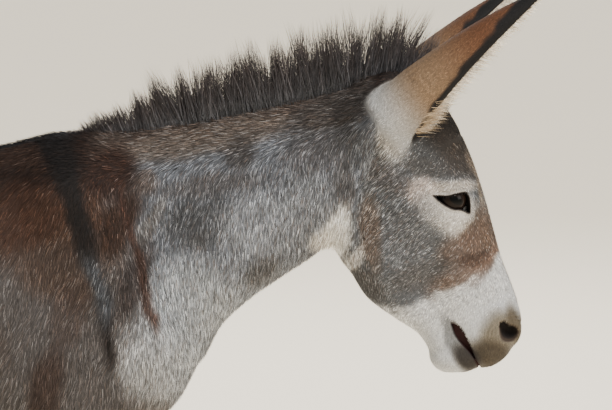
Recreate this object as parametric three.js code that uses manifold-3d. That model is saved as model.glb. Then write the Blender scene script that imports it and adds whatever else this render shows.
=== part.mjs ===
// A donkey standing at rest, life size, in millimetres: +Z up, +X towards the head, +Y to its left.
// The flesh is one smooth form, described by a distance field, and each part of the body is the
// stretch of it between thin cuts. Hooves, eyes, ears, mane and tail are pieces seated in the flesh.
// Places along the body are measured forward from the withers, and heights from the ground.

import * as THREE from 'three';
import { mergeVertices } from 'three/addons/utils/BufferGeometryUtils.js';
import Module from 'manifold-3d';

const wasm = await Module();
wasm.setup();

const { abs, cos, hypot, max, min, sin, PI } = Math;
const { clamp, degToRad } = THREE.MathUtils;

// ---------------------------------------------------------------- driving sizes

const GAP = 0.3; // clearance between neighbouring pieces
const LEG_CUT_HEIGHT = 590; // the legs leave the trunk just under the belly
const FORE_STEP = 22; // the left forefoot stands this far ahead, the right this far behind
const HIND_STEP = -20; // the hind feet stand the other way round
const STEP_HEIGHT = 690; // the step fades out up to this height

// Forefoot: places of its toe and heel, and how far its middle stands from the middle of the body.
const HOOF = { toe: 178, heel: 80, halfWidth: 39, toeHeight: 80, heelHeight: 44, middle: 86 };
const HIND_SETBACK = 900; // from a forefoot to the hind foot of the same shape
const EYE_RADIUS = 24;
const EAR_ROOT = new THREE.Vector3(538, 58, 1142);
const EAR_TIP = new THREE.Vector3(794, 112, 1350);
const EAR_OPENS = new THREE.Vector3(0.62, -0.3, -0.72); // the way that the left ear's opening faces

// Where the neck meets the trunk and the head: a point of the cut, and how far it leans back from
// upright, in degrees.
const SHOULDER_CUT = { x: 75, z: 1115, lean: 24.3 };
const THROAT_CUT = { x: 505, z: 1230, lean: -10.8 };

// ---------------------------------------------------------------- stations of the body

// Each row: place, top, bottom, half width, roundness (2 is an ellipse), narrowing to the top.
const TRUNK = [
  [-915, 950, 850, 20, 2.0, 0.0],
  [-895, 1000, 790, 62, 2.0, 0.05],
  [-850, 1048, 740, 108, 2.1, 0.1],
  [-780, 1088, 705, 138, 2.2, 0.12], // croup
  [-690, 1115, 675, 158, 2.2, 0.12],
  [-600, 1118, 650, 172, 2.2, 0.12], // hips
  [-500, 1102, 622, 180, 2.2, 0.1],
  [-380, 1088, 602, 192, 2.2, 0.08], // barrel
  [-260, 1084, 600, 194, 2.2, 0.1],
  [-150, 1090, 605, 184, 2.2, 0.16],
  [-50, 1101, 618, 160, 2.15, 0.27],
  [40, 1106, 632, 136, 2.1, 0.37], // withers and girth
  [120, 1095, 655, 116, 2.1, 0.4],
  [180, 1050, 690, 92, 2.1, 0.4],
  [225, 950, 735, 60, 2.0, 0.3], // breast
  [248, 870, 780, 25, 2.0, 0.0],
];

// Measured along the neck, from the middle of its root towards the poll.
const NECK_AXIS = { x: 120, z: 905, along: [0.903, 0.429] };
const NECK = [
  [-90, 245, -250, 104, 2.1, 0.35],
  [0, 238, -222, 108, 2.1, 0.42],
  [61, 219, -184, 101, 2.1, 0.46],
  [120, 201, -153, 92, 2.1, 0.48],
  [180, 183, -135, 84, 2.1, 0.48],
  [240, 164, -125, 77, 2.1, 0.46],
  [300, 149, -116, 72, 2.1, 0.44],
  [360, 135, -106, 67, 2.1, 0.4],
  [420, 122, -90, 60, 2.1, 0.35],
  [500, 108, -66, 50, 2.1, 0.3],
  [545, 80, -30, 30, 2.0, 0.2],
];

// Measured down the face from the poll, with "top" towards the front of the face.
const HEAD_AXIS = { x: 560, z: 1205, along: [0.3, -0.954] };
const SKULL = [
  [-24, 22, -40, 30, 2.0, 0.0], // poll
  [15, 50, -88, 56, 2.1, 0.1],
  [64, 74, -105, 72, 2.2, 0.15],
  [137, 88, -105, 80, 2.4, 0.12], // forehead
  [200, 91, -85, 80, 2.5, 0.15],
  [264, 90, -62, 62, 2.5, 0.22],
  [325, 89, -46, 49, 2.5, 0.25], // bridge of the nose
  [365, 92, -36, 43, 2.5, 0.22],
  [400, 93, -28, 41, 2.4, 0.15],
  [428, 90, -20, 41, 2.3, 0.08], // nostrils
  [448, 80, -10, 39, 2.2, 0.05],
  [468, 56, -2, 34, 2.1, 0.0],
  [484, 30, 8, 16, 2.0, 0.0], // tip of the upper lip
];
const JAW = [
  [120, -20, -150, 48, 2.1, 0.0],
  [170, 0, -166, 60, 2.2, 0.1], // corner of the jaw
  [222, 10, -166, 64, 2.3, 0.15],
  [270, 5, -151, 61, 2.3, 0.18],
  [318, -5, -137, 52, 2.2, 0.15],
  [362, -5, -106, 42, 2.2, 0.1],
  [400, -8, -77, 34, 2.1, 0.05],
  [430, -7, -68, 33, 2.1, 0.0], // chin
  [455, -2, -62, 32, 2.1, 0.0],
  [480, -3, -36, 21, 2.0, 0.0],
];

// Each row: height, front edge, rear edge, half width, distance from the middle of the body.
const FORELEG = [
  [20, 133, 70, 27, 86],
  [76, 134, 72, 29, 86], // coronet
  [96, 119, 66, 26, 86], // pastern
  [118, 107, 53, 24, 86],
  [148, 102, 38, 28, 86.5], // fetlock
  [176, 95, 45, 24, 87],
  [215, 92, 51, 20.5, 87.5], // cannon
  [285, 94, 50, 22, 88.5],
  [322, 102, 45, 29, 90],
  [362, 108, 38, 35, 91], // knee
  [402, 105, 43, 32, 92],
  [450, 106, 38, 34, 94],
  [530, 118, 20, 43, 98], // forearm
  [610, 130, -2, 52, 104],
  [680, 138, -28, 58, 106], // elbow
  [770, 138, -36, 46, 104],
  [860, 110, -10, 20, 96],
];
const HINDLEG = [
  [20, -766, -828, 27, 88],
  [76, -764, -826, 29, 88], // coronet
  [96, -778, -831, 26, 88], // pastern
  [120, -788, -845, 24, 88],
  [150, -795, -862, 28, 88], // fetlock
  [178, -802, -855, 24, 88],
  [220, -806, -851, 20.5, 88], // cannon
  [290, -805, -855, 22, 88],
  [330, -798, -862, 26, 88.5],
  [370, -786, -871, 31, 90],
  [405, -775, -880, 32, 92], // hock
  [432, -765, -886, 30, 93],
  [452, -754, -882, 28, 94],
  [480, -735, -863, 29, 96],
  [520, -706, -846, 35, 100], // gaskin
  [570, -664, -832, 46, 106],
  [630, -612, -836, 60, 112],
  [700, -592, -856, 70, 114], // stifle
  [790, -600, -876, 66, 106],
  [890, -640, -885, 45, 90], // thigh
  [960, -680, -850, 15, 80],
];

// Muscles and bones that stand out from those forms, each with a left and a right one. Each row:
// centre, radii, and the width over which it runs into the rest.
const TRUNK_BULGES = [
  [[70, 104, 760], [112, 50, 100], 55], // upper arm
  [[178, 46, 775], [48, 50, 85], 40], // breast
  [[-735, 88, 975], [150, 78, 116], 55], // croup
  [[-622, 104, 1035], [74, 40, 46], 65], // point of the hip
  [[-852, 70, 865], [54, 52, 190], 55], // buttock
  [[-632, 126, 705], [60, 48, 85], 50], // stifle
];
const HEAD_BULGES = [
  [[190, 44, 56], [46, 30, 27], 28], // rim of the eye socket
  [[222, -80, 46], [74, 62, 24], 24], // cheek
  [[50, -32, 52], [54, 48, 40], 34], // root of the ear
  [[426, 56, 30], [34, 30, 19], 16], // wing of the nostril
  [[457, 26, 0], [27, 36, 40], 14], // upper lip
  [[450, -40, 0], [28, 30, 32], 12], // chin
  [[457, -16, 0], [25, 20, 30], 12], // lower lip
];
const SHOULDER_BLADE = { from: [40, 60, 1035], fromRadius: 48, to: [168, 98, 815], toRadius: 50, blend: 70 };
const CHEEKBONE = { from: [222, 24, 62], fromRadius: 11, to: [306, 8, 44], toRadius: 9, blend: 34 };

// How far the larger forms run into each other.
const BLENDS = { jaw: 26, limb: 40, neck: 60, head: 30, lids: 9, trunkEnds: 20, neckEnds: 30, limbEnds: 30 };

// Places on the head are down the face, towards its front, and out to the side.
const EYE_CENTRE = [194, 38, 61.5];
const LID_THICKNESS = 3.6;
const EYE_OUT = new THREE.Vector3(0.02, 0.26, 0.96).normalize();
const EYE_LENGTHWAYS = new THREE.Vector3(0.64, 0.765, 0).addScaledVector(EYE_OUT, -0.21).normalize();
const NOSTRIL = { centre: [432, 66, 34], radii: [14, 13, 26] };

// ---------------------------------------------------------------- field helpers

// Two forms run into each other over the width of the blend.
function join(a, b, blend) {
  const h = clamp(0.5 + (0.5 * (b - a)) / blend, 0, 1);
  return b + (a - b) * h - blend * h * (1 - h);
}

function common(a, b, blend) {
  return -join(-a, -b, blend);
}

// The columns of a table of stations, as smooth curves of the first column.
function stations(rows) {
  const last = rows.length - 1;
  const slopes = rows.map((row, i) => {
    const before = rows[max(i - 1, 0)];
    const after = rows[min(i + 1, last)];
    const back = row[0] - before[0];
    const ahead = after[0] - row[0];
    return row.map((value, k) => {
      if (back === 0) return (after[k] - value) / ahead;
      if (ahead === 0) return (value - before[k]) / back;
      const rise = back * back * (after[k] - value) + ahead * ahead * (value - before[k]);
      return rise / (back * ahead * (back + ahead));
    });
  });
  return (place) => {
    const x = clamp(place, rows[0][0], rows[last][0]);
    let i = 0;
    while (i < last - 1 && x > rows[i + 1][0]) i += 1;
    const span = rows[i + 1][0] - rows[i][0];
    const t = (x - rows[i][0]) / span;
    const a = (1 + 2 * t) * (1 - t) ** 2;
    const b = t * (1 - t) ** 2 * span;
    const c = t * t * (3 - 2 * t);
    const d = t * t * (t - 1) * span;
    return rows[i].map((value, k) => (
      a * value + b * slopes[i][k] + c * rows[i + 1][k] + d * slopes[i + 1][k]));
  };
}

// Distance to a rounded cross-section, measured up (u) and sideways (w).
function section(u, w, top, bottom, half, power, narrowing) {
  const reach = (top - bottom) / 2;
  const t = (u - (top + bottom) / 2) / reach;
  const width = half * (1 - narrowing * clamp(t, -1, 1));
  const up = abs(t) + 1e-6;
  const side = abs(w / width) + 1e-6;
  const g = (up ** power + side ** power) ** (1 / power);
  const slope = hypot(up ** (power - 1) / reach, side ** (power - 1) / width) * g ** (1 - power);
  return max((g - 1) / max(slope, 1e-4), -1.2 * min(reach, width));
}

function loft(rows, endBlend = 12) {
  const curve = stations(rows);
  const start = rows[0][0];
  const end = rows[rows.length - 1][0];
  return (s, u, w) => {
    const [, top, bottom, half, power, narrowing] = curve(s);
    const body = section(u, w, top, bottom, half, power, narrowing);
    return common(body, max(start - s, s - end), endBlend);
  };
}

function limb(rows) {
  const curve = stations(rows);
  const start = rows[0][0];
  const end = rows[rows.length - 1][0];
  return (x, y, z) => {
    const [, front, rear, half, middle] = curve(z);
    const body = section(x, y - middle, front, rear, half, 2.2, 0);
    return common(body, max(start - z, z - end), BLENDS.limbEnds);
  };
}

// Distance to an ellipsoid with its axes along the three coordinates.
function egg(x, y, z, [cx, cy, cz], [rx, ry, rz]) {
  const a = (x - cx) / rx;
  const b = (y - cy) / ry;
  const c = (z - cz) / rz;
  const k = hypot(a, b, c);
  if (k < 1e-3) return -min(rx, ry, rz);
  return (k * (k - 1)) / hypot(a / rx, b / ry, c / rz);
}

// Distance to a rod that tapers from one ball to another.
function rod(x, y, z, { from, fromRadius, to, toRadius }) {
  const [ax, ay, az] = from;
  const dx = to[0] - ax;
  const dy = to[1] - ay;
  const dz = to[2] - az;
  const length2 = dx * dx + dy * dy + dz * dz;
  const t = clamp(((x - ax) * dx + (y - ay) * dy + (z - az) * dz) / length2, 0, 1);
  const radius = fromRadius + (toRadius - fromRadius) * t;
  return hypot(x - ax - t * dx, y - ay - t * dy, z - az - t * dz) - radius;
}

// Between the body's own directions and an axis that leans in the plane of symmetry.
function toAxis(axis, x, z) {
  const [dx, dz] = axis.along;
  return [(x - axis.x) * dx + (z - axis.z) * dz, (z - axis.z) * dx - (x - axis.x) * dz];
}

function fromAxis(axis, s, u) {
  const [dx, dz] = axis.along;
  return [axis.x + s * dx - u * dz, axis.z + s * dz + u * dx];
}

// ---------------------------------------------------------------- the flesh

const trunkLoft = loft(TRUNK, BLENDS.trunkEnds);
const neckLoft = loft(NECK, BLENDS.neckEnds);
const skullLoft = loft(SKULL);
const jawLoft = loft(JAW);
const foreLimb = limb(FORELEG);
const hindLimb = limb(HINDLEG);

function withBulges(form, x, y, z, bulges) {
  return bulges.reduce((f, [centre, radii, blend]) => join(f, egg(x, y, z, centre, radii), blend), form);
}

function trunkField(x, side, z) {
  const barrel = trunkLoft(x, z, side);
  const shouldered = join(barrel, rod(x, side, z, SHOULDER_BLADE), SHOULDER_BLADE.blend);
  return withBulges(shouldered, x, side, z, TRUNK_BULGES);
}

function headField(x, side, z) {
  const [s, u] = toAxis(HEAD_AXIS, x, z);
  const skull = join(skullLoft(s, u, side), jawLoft(s, u, side), BLENDS.jaw);
  const boned = join(skull, rod(s, u, side, CHEEKBONE), CHEEKBONE.blend);
  const fleshed = withBulges(boned, s, u, side, HEAD_BULGES);
  const [es, eu, ew] = EYE_CENTRE;
  const lids = hypot(s - es, u - eu, side - ew) - EYE_RADIUS - LID_THICKNESS;
  return join(fleshed, lids, BLENDS.lids);
}

function stepAt(step, y, z) {
  return Math.sign(y) * step * clamp(1 - z / STEP_HEIGHT, 0, 1);
}

function flesh(x, y, z) {
  const side = abs(y);
  let f = trunkField(x, side, z);
  f = join(f, foreLimb(x - stepAt(FORE_STEP, y, z), side, z), BLENDS.limb);
  f = join(f, hindLimb(x - stepAt(HIND_STEP, y, z), side, z), BLENDS.limb);
  const [s, u] = toAxis(NECK_AXIS, x, z);
  f = join(f, neckLoft(s, u, side), BLENDS.neck);
  return join(f, headField(x, side, z), BLENDS.head);
}

// ---------------------------------------------------------------- meshes and solids

function meshGeometry(points, triangles) {
  const geometry = new THREE.BufferGeometry();
  geometry.setAttribute('position', new THREE.Float32BufferAttribute(points, 3));
  geometry.setIndex(triangles);
  return geometry;
}

function toSolid(geometry, turned = false) {
  const bare = geometry.clone();
  bare.deleteAttribute('normal');
  bare.deleteAttribute('uv');
  const merged = mergeVertices(bare, 1e-4);
  const index = merged.index.array;
  for (let i = 0; turned && i < index.length; i += 3) {
    [index[i], index[i + 1]] = [index[i + 1], index[i]];
  }
  return new wasm.Manifold(new wasm.Mesh({
    numProp: 3,
    vertProperties: Float32Array.from(merged.attributes.position.array),
    triVerts: Uint32Array.from(index),
  }));
}

function toGeometry(solid) {
  const { vertProperties, triVerts, numProp } = solid.getMesh();
  const points = [];
  for (let i = 0; i < vertProperties.length; i += numProp) {
    points.push(vertProperties[i], vertProperties[i + 1], vertProperties[i + 2]);
  }
  return meshGeometry(points, Array.from(triVerts));
}

function steps(from, to, size) {
  const count = Math.round((to - from) / size);
  return Array.from({ length: count + 1 }, (_, i) => from + ((to - from) * i) / count);
}

// The flesh inside a box, as a closed mesh. One vertex lies in each cell of a grid that the surface
// crosses, and one square spans each crossed grid line. Each vertex is then moved onto the surface.
function fleshIn(axis, alongs, ups, sides) {
  const size = [alongs.length, ups.length, sides.length];
  const at = (i, j, k) => (i * size[1] + j) * size[2] + k;
  const place = (s, u, w) => {
    const [x, z] = fromAxis(axis, s, u);
    return [x, w, z];
  };
  const values = new Float64Array(size[0] * size[1] * size[2]).fill(1);
  for (let i = 1; i < size[0] - 1; i += 1) {
    for (let j = 1; j < size[1] - 1; j += 1) {
      for (let k = 1; k < size[2] - 1; k += 1) {
        values[at(i, j, k)] = flesh(...place(alongs[i], ups[j], sides[k]));
      }
    }
  }
  const lines = [alongs, ups, sides];
  const vertexOf = new Map();
  const points = [];
  const fixed = [];
  const corner = (cell, bits) => [cell[0] + (bits & 1), cell[1] + ((bits >> 1) & 1), cell[2] + (bits >> 2)];
  const addVertex = (cell) => {
    const sum = [0, 0, 0];
    let crossings = 0;
    for (let a = 0; a < 8; a += 1) {
      for (const bit of [1, 2, 4]) {
        if (a & bit) continue;
        const from = corner(cell, a);
        const to = corner(cell, a | bit);
        const fa = values[at(...from)];
        const fb = values[at(...to)];
        if (fa < 0 === fb < 0) continue;
        const t = fa / (fa - fb);
        for (let n = 0; n < 3; n += 1) sum[n] += lines[n][from[n]] * (1 - t) + lines[n][to[n]] * t;
        crossings += 1;
      }
    }
    if (crossings === 0) return;
    vertexOf.set(at(...cell), points.length);
    points.push(place(sum[0] / crossings, sum[1] / crossings, sum[2] / crossings));
    fixed.push(cell.some((n, which) => n === 0 || n === size[which] - 2));
  };
  for (let i = 0; i < size[0] - 1; i += 1) {
    for (let j = 0; j < size[1] - 1; j += 1) {
      for (let k = 0; k < size[2] - 1; k += 1) addVertex([i, j, k]);
    }
  }
  const triangles = [];
  const apart = (a, b) => hypot(...points[a].map((value, n) => value - points[b][n]));
  const addSquare = (line, which, outward) => {
    const [p, q] = [(which + 1) % 3, (which + 2) % 3];
    const around = [[-1, -1], [0, -1], [0, 0], [-1, 0]].map(([dp, dq]) => {
      const cell = [...line];
      cell[p] += dp;
      cell[q] += dq;
      return vertexOf.get(at(...cell));
    });
    if (!outward) around.reverse();
    const [a, b, c, d] = around;
    if (apart(a, c) <= apart(b, d)) triangles.push(a, b, c, a, c, d);
    else triangles.push(a, b, d, b, c, d);
  };
  for (let i = 0; i < size[0] - 1; i += 1) {
    for (let j = 0; j < size[1] - 1; j += 1) {
      for (let k = 0; k < size[2] - 1; k += 1) {
        for (let which = 0; which < 3; which += 1) {
          const next = [i, j, k];
          next[which] += 1;
          const inside = values[at(i, j, k)] < 0;
          if (inside !== values[at(...next)] < 0) addSquare([i, j, k], which, !inside);
        }
      }
    }
  }
  const settled = points.map((point, i) => (fixed[i] ? point : ontoSurface(point)));
  return toSolid(meshGeometry(settled.flat(), triangles));
}

// A few Newton steps along the slope of the field, none longer than a short way.
function ontoSurface([x, y, z]) {
  const probe = 1;
  const longest = 8;
  for (let round = 0; round < 3; round += 1) {
    const f = flesh(x, y, z);
    const gx = (flesh(x + probe, y, z) - flesh(x - probe, y, z)) / (2 * probe);
    const gy = (flesh(x, y + probe, z) - flesh(x, y - probe, z)) / (2 * probe);
    const gz = (flesh(x, y, z + probe) - flesh(x, y, z - probe)) / (2 * probe);
    const steep = max(gx * gx + gy * gy + gz * gz, 0.05);
    const move = clamp(-f / steep, -longest, longest);
    x += move * gx;
    y += move * gy;
    z += move * gz;
  }
  return [x, y, z];
}

// Everything beyond a plane is taken off, and half the gap with it. The plane stands across the
// body, and faces this many degrees up from forward.
function cutBeyond(solid, x, z, facing) {
  const reach = 3000;
  const block = new THREE.BoxGeometry(reach, reach, reach);
  block.translate(reach / 2 - GAP / 2, 0, 0);
  block.rotateY(-degToRad(facing));
  block.translate(x, 0, z);
  return solid.subtract(toSolid(block));
}

function aheadOf(solid, cut) {
  return cutBeyond(solid, cut.x, cut.z, cut.lean + 180);
}

function behind(solid, cut) {
  return cutBeyond(solid, cut.x, cut.z, cut.lean);
}

function above(solid, height) {
  return cutBeyond(solid, 0, height, -90);
}

function below(solid, height) {
  return cutBeyond(solid, 0, height, 90);
}

// A closed solid through rings of points that all have the same number of corners.
function ringSolid(rings, capEnds) {
  const around = rings[0].length;
  const triangles = [];
  for (let row = 0; row < rings.length - 1; row += 1) {
    for (let i = 0; i < around; i += 1) {
      const a = row * around + i;
      const b = row * around + ((i + 1) % around);
      triangles.push(a, b, b + around, a, b + around, a + around);
    }
  }
  const points = rings.flat(2);
  const lastRow = (rings.length - 1) * around;
  for (const [a, b, c] of capEnds(around)) {
    triangles.push(a, c, b, lastRow + a, lastRow + b, lastRow + c);
  }
  return toSolid(meshGeometry(points, triangles));
}

// Fans the end of a round ring from its first corner.
function fanCap(around) {
  return Array.from({ length: around - 2 }, (_, i) => [0, i + 1, i + 2]);
}

// Closes a ring that runs out along one side of a strip and back along the other.
function stripCap(around) {
  const cap = [];
  for (let i = 0; i < around / 2 - 1; i += 1) {
    const far = around - 1 - i;
    cap.push([i, i + 1, far], [i + 1, far - 1, far]);
  }
  return cap;
}

// The same piece on the other side of the body.
function mirrored(solid) {
  return toSolid(toGeometry(solid).scale(1, -1, 1), true);
}

// ---------------------------------------------------------------- eyes, nostrils and mouth

const BALL_SEGMENTS = [12, 8];

// Turns a shape made in head directions into the body's own. These two are mirror images of each
// other, so the faces are turned as well.
const HEAD_MATRIX = new THREE.Matrix4().set(
  HEAD_AXIS.along[0], -HEAD_AXIS.along[1], 0, HEAD_AXIS.x,
  0, 0, 1, 0,
  HEAD_AXIS.along[1], HEAD_AXIS.along[0], 0, HEAD_AXIS.z,
  0, 0, 0, 1,
);

function onHead(geometry) {
  return toSolid(geometry.applyMatrix4(HEAD_MATRIX), true);
}

function eyeball(radius) {
  const ball = new THREE.SphereGeometry(radius, ...BALL_SEGMENTS);
  return onHead(ball.translate(...EYE_CENTRE));
}

// The almond opening between the lids, cut straight in to the eyeball. Its outline runs from the
// rear corner along one lid to the front corner, and back along the other.
function lidOpening() {
  const almond = new THREE.Shape();
  almond.moveTo(-30, -6.5);
  almond.quadraticCurveTo(-12, -17, 4, -13);
  almond.quadraticCurveTo(16, -8, 28, -9);
  almond.quadraticCurveTo(24, 14, 11, 15.5);
  almond.quadraticCurveTo(-8, 7.5, -30, -6.5);
  const depth = 2 * EYE_RADIUS;
  const opening = new THREE.ExtrudeGeometry(almond, {
    depth, steps: 1, bevelEnabled: false, curveSegments: 3 });
  const lidUp = new THREE.Vector3().crossVectors(EYE_OUT, EYE_LENGTHWAYS);
  opening.applyMatrix4(new THREE.Matrix4().makeBasis(EYE_LENGTHWAYS, lidUp, EYE_OUT));
  return onHead(opening.translate(...EYE_CENTRE));
}

function nostril() {
  const pit = new THREE.SphereGeometry(1, ...BALL_SEGMENTS);
  pit.scale(...NOSTRIL.radii);
  return onHead(pit.translate(...NOSTRIL.centre));
}

// A slit that is open at the corners of the lips and closes to a line in front.
function mouthSlit() {
  const slit = new THREE.Shape();
  slit.moveTo(396, -17);
  slit.quadraticCurveTo(404, -9, 420, -8);
  slit.quadraticCurveTo(446, -4, 468, 0);
  slit.quadraticCurveTo(446, -8, 420, -17);
  slit.quadraticCurveTo(406, -21, 396, -17);
  const width = 120;
  const cut = new THREE.ExtrudeGeometry(slit, {
    depth: width, steps: 1, bevelEnabled: false, curveSegments: 4 });
  const closedWithin = { length: 88, halfWidth: 25, height: 80, s: 382, u: -5 };
  const insideOfMouth = new THREE.CylinderGeometry(1, 1, closedWithin.height, 20);
  insideOfMouth.scale(closedWithin.length, 1, closedWithin.halfWidth);
  insideOfMouth.translate(closedWithin.s, closedWithin.u, 0);
  return onHead(cut.translate(0, 0, -width / 2)).subtract(onHead(insideOfMouth));
}

// ---------------------------------------------------------------- ears

// Each row: share of the ear's length, radius, half angle in degrees, half thickness.
const EAR = [
  [-0.07, 20, 174, 5.0],
  [0.0, 33, 168, 5.0],
  [0.1, 40, 152, 4.8],
  [0.22, 40, 132, 4.2],
  [0.38, 36, 115, 3.8],
  [0.54, 31, 103, 3.4],
  [0.7, 25, 92, 3.2],
  [0.84, 17.5, 82, 3.0],
  [0.94, 10, 70, 2.8],
  [1.0, 4.5, 55, 2.5],
];
const EAR_BOW = 8; // how far the back of the ear curves out from a straight line
const EAR_SETTLE = { radius: 36, share: 0.35 }; // the narrow stretches lie nearer the back
const EAR_CORNERS = 6;

// A rolled leaf: a tube slit down its front, opening from the root to the tip.
function ear(grow) {
  const along = EAR_TIP.clone().sub(EAR_ROOT);
  const length = along.length();
  along.normalize();
  const open = EAR_OPENS.clone().addScaledVector(along, -EAR_OPENS.dot(along)).normalize();
  const across = new THREE.Vector3().crossVectors(along, open);
  const curve = stations(EAR);
  const rings = EAR.map(([share]) => {
    const [, radius, halfAngle, thickness] = curve(share);
    const middle = EAR_SETTLE.share * (radius - EAR_SETTLE.radius) - EAR_BOW * sin(PI * share);
    const edge = (r, turn) => {
      const angle = degToRad(halfAngle + grow * 1.5) * turn;
      return EAR_ROOT.clone()
        .addScaledVector(along, share * length - (share < 0 ? grow : 0))
        .addScaledVector(open, middle - r * cos(angle))
        .addScaledVector(across, r * sin(angle))
        .toArray();
    };
    const turns = steps(-1, 1, 2 / EAR_CORNERS);
    const outer = turns.map((turn) => edge(radius + thickness + grow, turn));
    const inner = turns.map((turn) => edge(max(radius - thickness - grow, 1), -turn));
    return [...outer, ...inner];
  });
  return ringSolid(rings.map((ring) => ring.reverse()), stripCap);
}

// ---------------------------------------------------------------- mane

// Each row: place and height of the hair's root line, then of its tips.
const MANE = [
  [45, 1116, 36, 1124],
  [100, 1125, 84, 1152],
  [150, 1133, 128, 1182],
  [215, 1143, 195, 1222],
  [280, 1153, 264, 1250],
  [345, 1167, 334, 1269],
  [410, 1182, 400, 1289],
  [470, 1197, 464, 1309],
  [525, 1213, 522, 1321],
  [565, 1221, 574, 1314],
  [600, 1212, 618, 1282],
  [624, 1186, 650, 1218],
  [640, 1148, 656, 1158],
];
const MANE_DEPTH = 13; // the roots start this far under the crest
const MANE_WIDTHS = [[0, 15], [0.35, 17], [0.75, 11], [1, 4]]; // share of the height, half width
const MANE_THINS = { under: 60, least: 0.45 }; // where the hair is short the mane is thinner too

function mane(grow) {
  const rings = MANE.map(([rootX, rootZ, tipX, tipZ], i) => {
    const length = hypot(tipX - rootX, tipZ - rootZ);
    const beyond = i === MANE.length - 1 ? grow : 0;
    const thin = clamp(length / MANE_THINS.under, MANE_THINS.least, 1);
    const corner = (share, half) => {
      const reach = share === 0 ? -MANE_DEPTH - grow : share * length + (share === 1 ? grow : 0);
      const x = rootX + ((tipX - rootX) * reach) / length;
      const z = rootZ + ((tipZ - rootZ) * reach) / length;
      return [x + beyond, half, z - beyond];
    };
    const left = MANE_WIDTHS.map(([share, half]) => corner(share, half * thin + grow));
    const right = MANE_WIDTHS.map(([share, half]) => corner(share, -half * thin - grow));
    return [...left, ...right.reverse()];
  });
  return ringSolid(rings, stripCap);
}

// ---------------------------------------------------------------- tail

const TAIL_PATH = new THREE.CatmullRomCurve3([
  new THREE.Vector3(-862, 0, 1010),
  new THREE.Vector3(-912, 0, 985),
  new THREE.Vector3(-944, 0, 920),
  new THREE.Vector3(-948, 0, 800),
  new THREE.Vector3(-940, 0, 660),
  new THREE.Vector3(-936, 0, 500),
  new THREE.Vector3(-938, 0, 330),
]);
const DOCK_SHARE = 0.55; // the bare dock ends here, and the switch of long hair begins
// Each row: share of the tail's length, half width.
const DOCK = [[0, 30], [0.12, 29], [0.3, 23], [0.45, 18], [0.56, 16]];
const SWITCH = [[0.54, 17], [0.62, 27], [0.74, 34], [0.86, 29], [0.95, 17], [1, 6]];
const TAIL_CORNERS = 8;

function tailLength(rows, grow) {
  const rings = rows.map(([share, half]) => {
    const tangent = TAIL_PATH.getTangentAt(share);
    const centre = TAIL_PATH.getPointAt(share).addScaledVector(tangent, share === 0 ? -grow : 0);
    const fore = new THREE.Vector3(-tangent.z, 0, tangent.x);
    return Array.from({ length: TAIL_CORNERS }, (_, i) => {
      const angle = (2 * PI * i) / TAIL_CORNERS;
      const point = centre.clone().addScaledVector(fore, (half + grow) * cos(angle));
      point.y = -(half + grow) * sin(angle);
      return point.toArray();
    });
  });
  return ringSolid(rings, fanCap);
}

// ---------------------------------------------------------------- hooves

// The coronet is the upper edge of the horn, higher at the toe than at the heel.
const CORONET = { front: 137, rear: 70, halfWidth: 31, lean: 30 };
CORONET.x = (CORONET.front + CORONET.rear) / 2;
CORONET.z = (HOOF.toeHeight + HOOF.heelHeight) / 2;
const HOOF_CORNERS = 14;
const HOOF_SQUARENESS = [0.85, 0.8]; // under 1 is fuller than an ellipse, lengthways and across

function hoof(setback, step, side) {
  const shares = [0, 0.5, 1];
  const rings = shares.map((t) => {
    const front = HOOF.toe + (CORONET.front - HOOF.toe) * t;
    const rear = HOOF.heel + (CORONET.rear - HOOF.heel) * t;
    const half = HOOF.halfWidth + (CORONET.halfWidth - HOOF.halfWidth) * t;
    return Array.from({ length: HOOF_CORNERS }, (_, i) => {
      const angle = (2 * PI * i) / HOOF_CORNERS;
      const c = cos(angle);
      const s = sin(angle);
      const x = (front + rear) / 2 + ((front - rear) / 2) * Math.sign(c) * abs(c) ** HOOF_SQUARENESS[0];
      const y = half * Math.sign(s) * abs(s) ** HOOF_SQUARENESS[1];
      const top = CORONET.z + (x - CORONET.x) * Math.tan(degToRad(CORONET.lean)) - GAP;
      const z = t * top;
      return [x - setback + stepAt(step, side, z), side * HOOF.middle + y, z];
    });
  });
  return ringSolid(rings, fanCap);
}

// ---------------------------------------------------------------- the parts of the body

const UPRIGHT = { x: 0, z: 0, along: [1, 0] };

// The grids on which the flesh is meshed: from, to and spacing, along the part's axis, up and across.
const TRUNK_GRID = [[-980, 358, 58], [500, 1220, 51.4], [-275, 275, 50]];
const NECK_GRID = [[-184, 572, 54], [-314, 310, 44.5], [-166, 166, 36.8]];
const HEAD_GRID = [[-124, 322, 31.8], [-240, 144, 24], [-121, 121, 22]];
const MUZZLE_GRID = [345, 511, 20.7]; // finer lengthways
const LEG_GRID = {
  up: [-4, 640, 38],
  across: [12, 194, 20.2],
  fore: [-82, 212, 18.4],
  hind: [-932, -588, 20.2],
};

function makeTrunk() {
  const whole = fleshIn(UPRIGHT, ...TRUNK_GRID.map((line) => steps(...line)));
  const trunk = above(behind(whole, SHOULDER_CUT), LEG_CUT_HEIGHT);
  return trunk.subtract(tailLength(DOCK, GAP)).subtract(mane(GAP));
}

function makeNeck() {
  const whole = fleshIn(NECK_AXIS, ...NECK_GRID.map((line) => steps(...line)));
  return behind(aheadOf(whole, SHOULDER_CUT), THROAT_CUT).subtract(mane(GAP));
}

function makeHead() {
  const [downFace, ups, sides] = HEAD_GRID.map((line) => steps(...line));
  const whole = fleshIn(HEAD_AXIS, [...downFace, ...steps(...MUZZLE_GRID)], ups, sides);
  let head = aheadOf(whole, THROAT_CUT);
  const openings = [eyeball(EYE_RADIUS + GAP), lidOpening(), nostril(), ear(GAP)];
  for (const opening of openings) head = head.subtract(opening).subtract(mirrored(opening));
  return head.subtract(mouthSlit()).subtract(mane(GAP));
}

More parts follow.
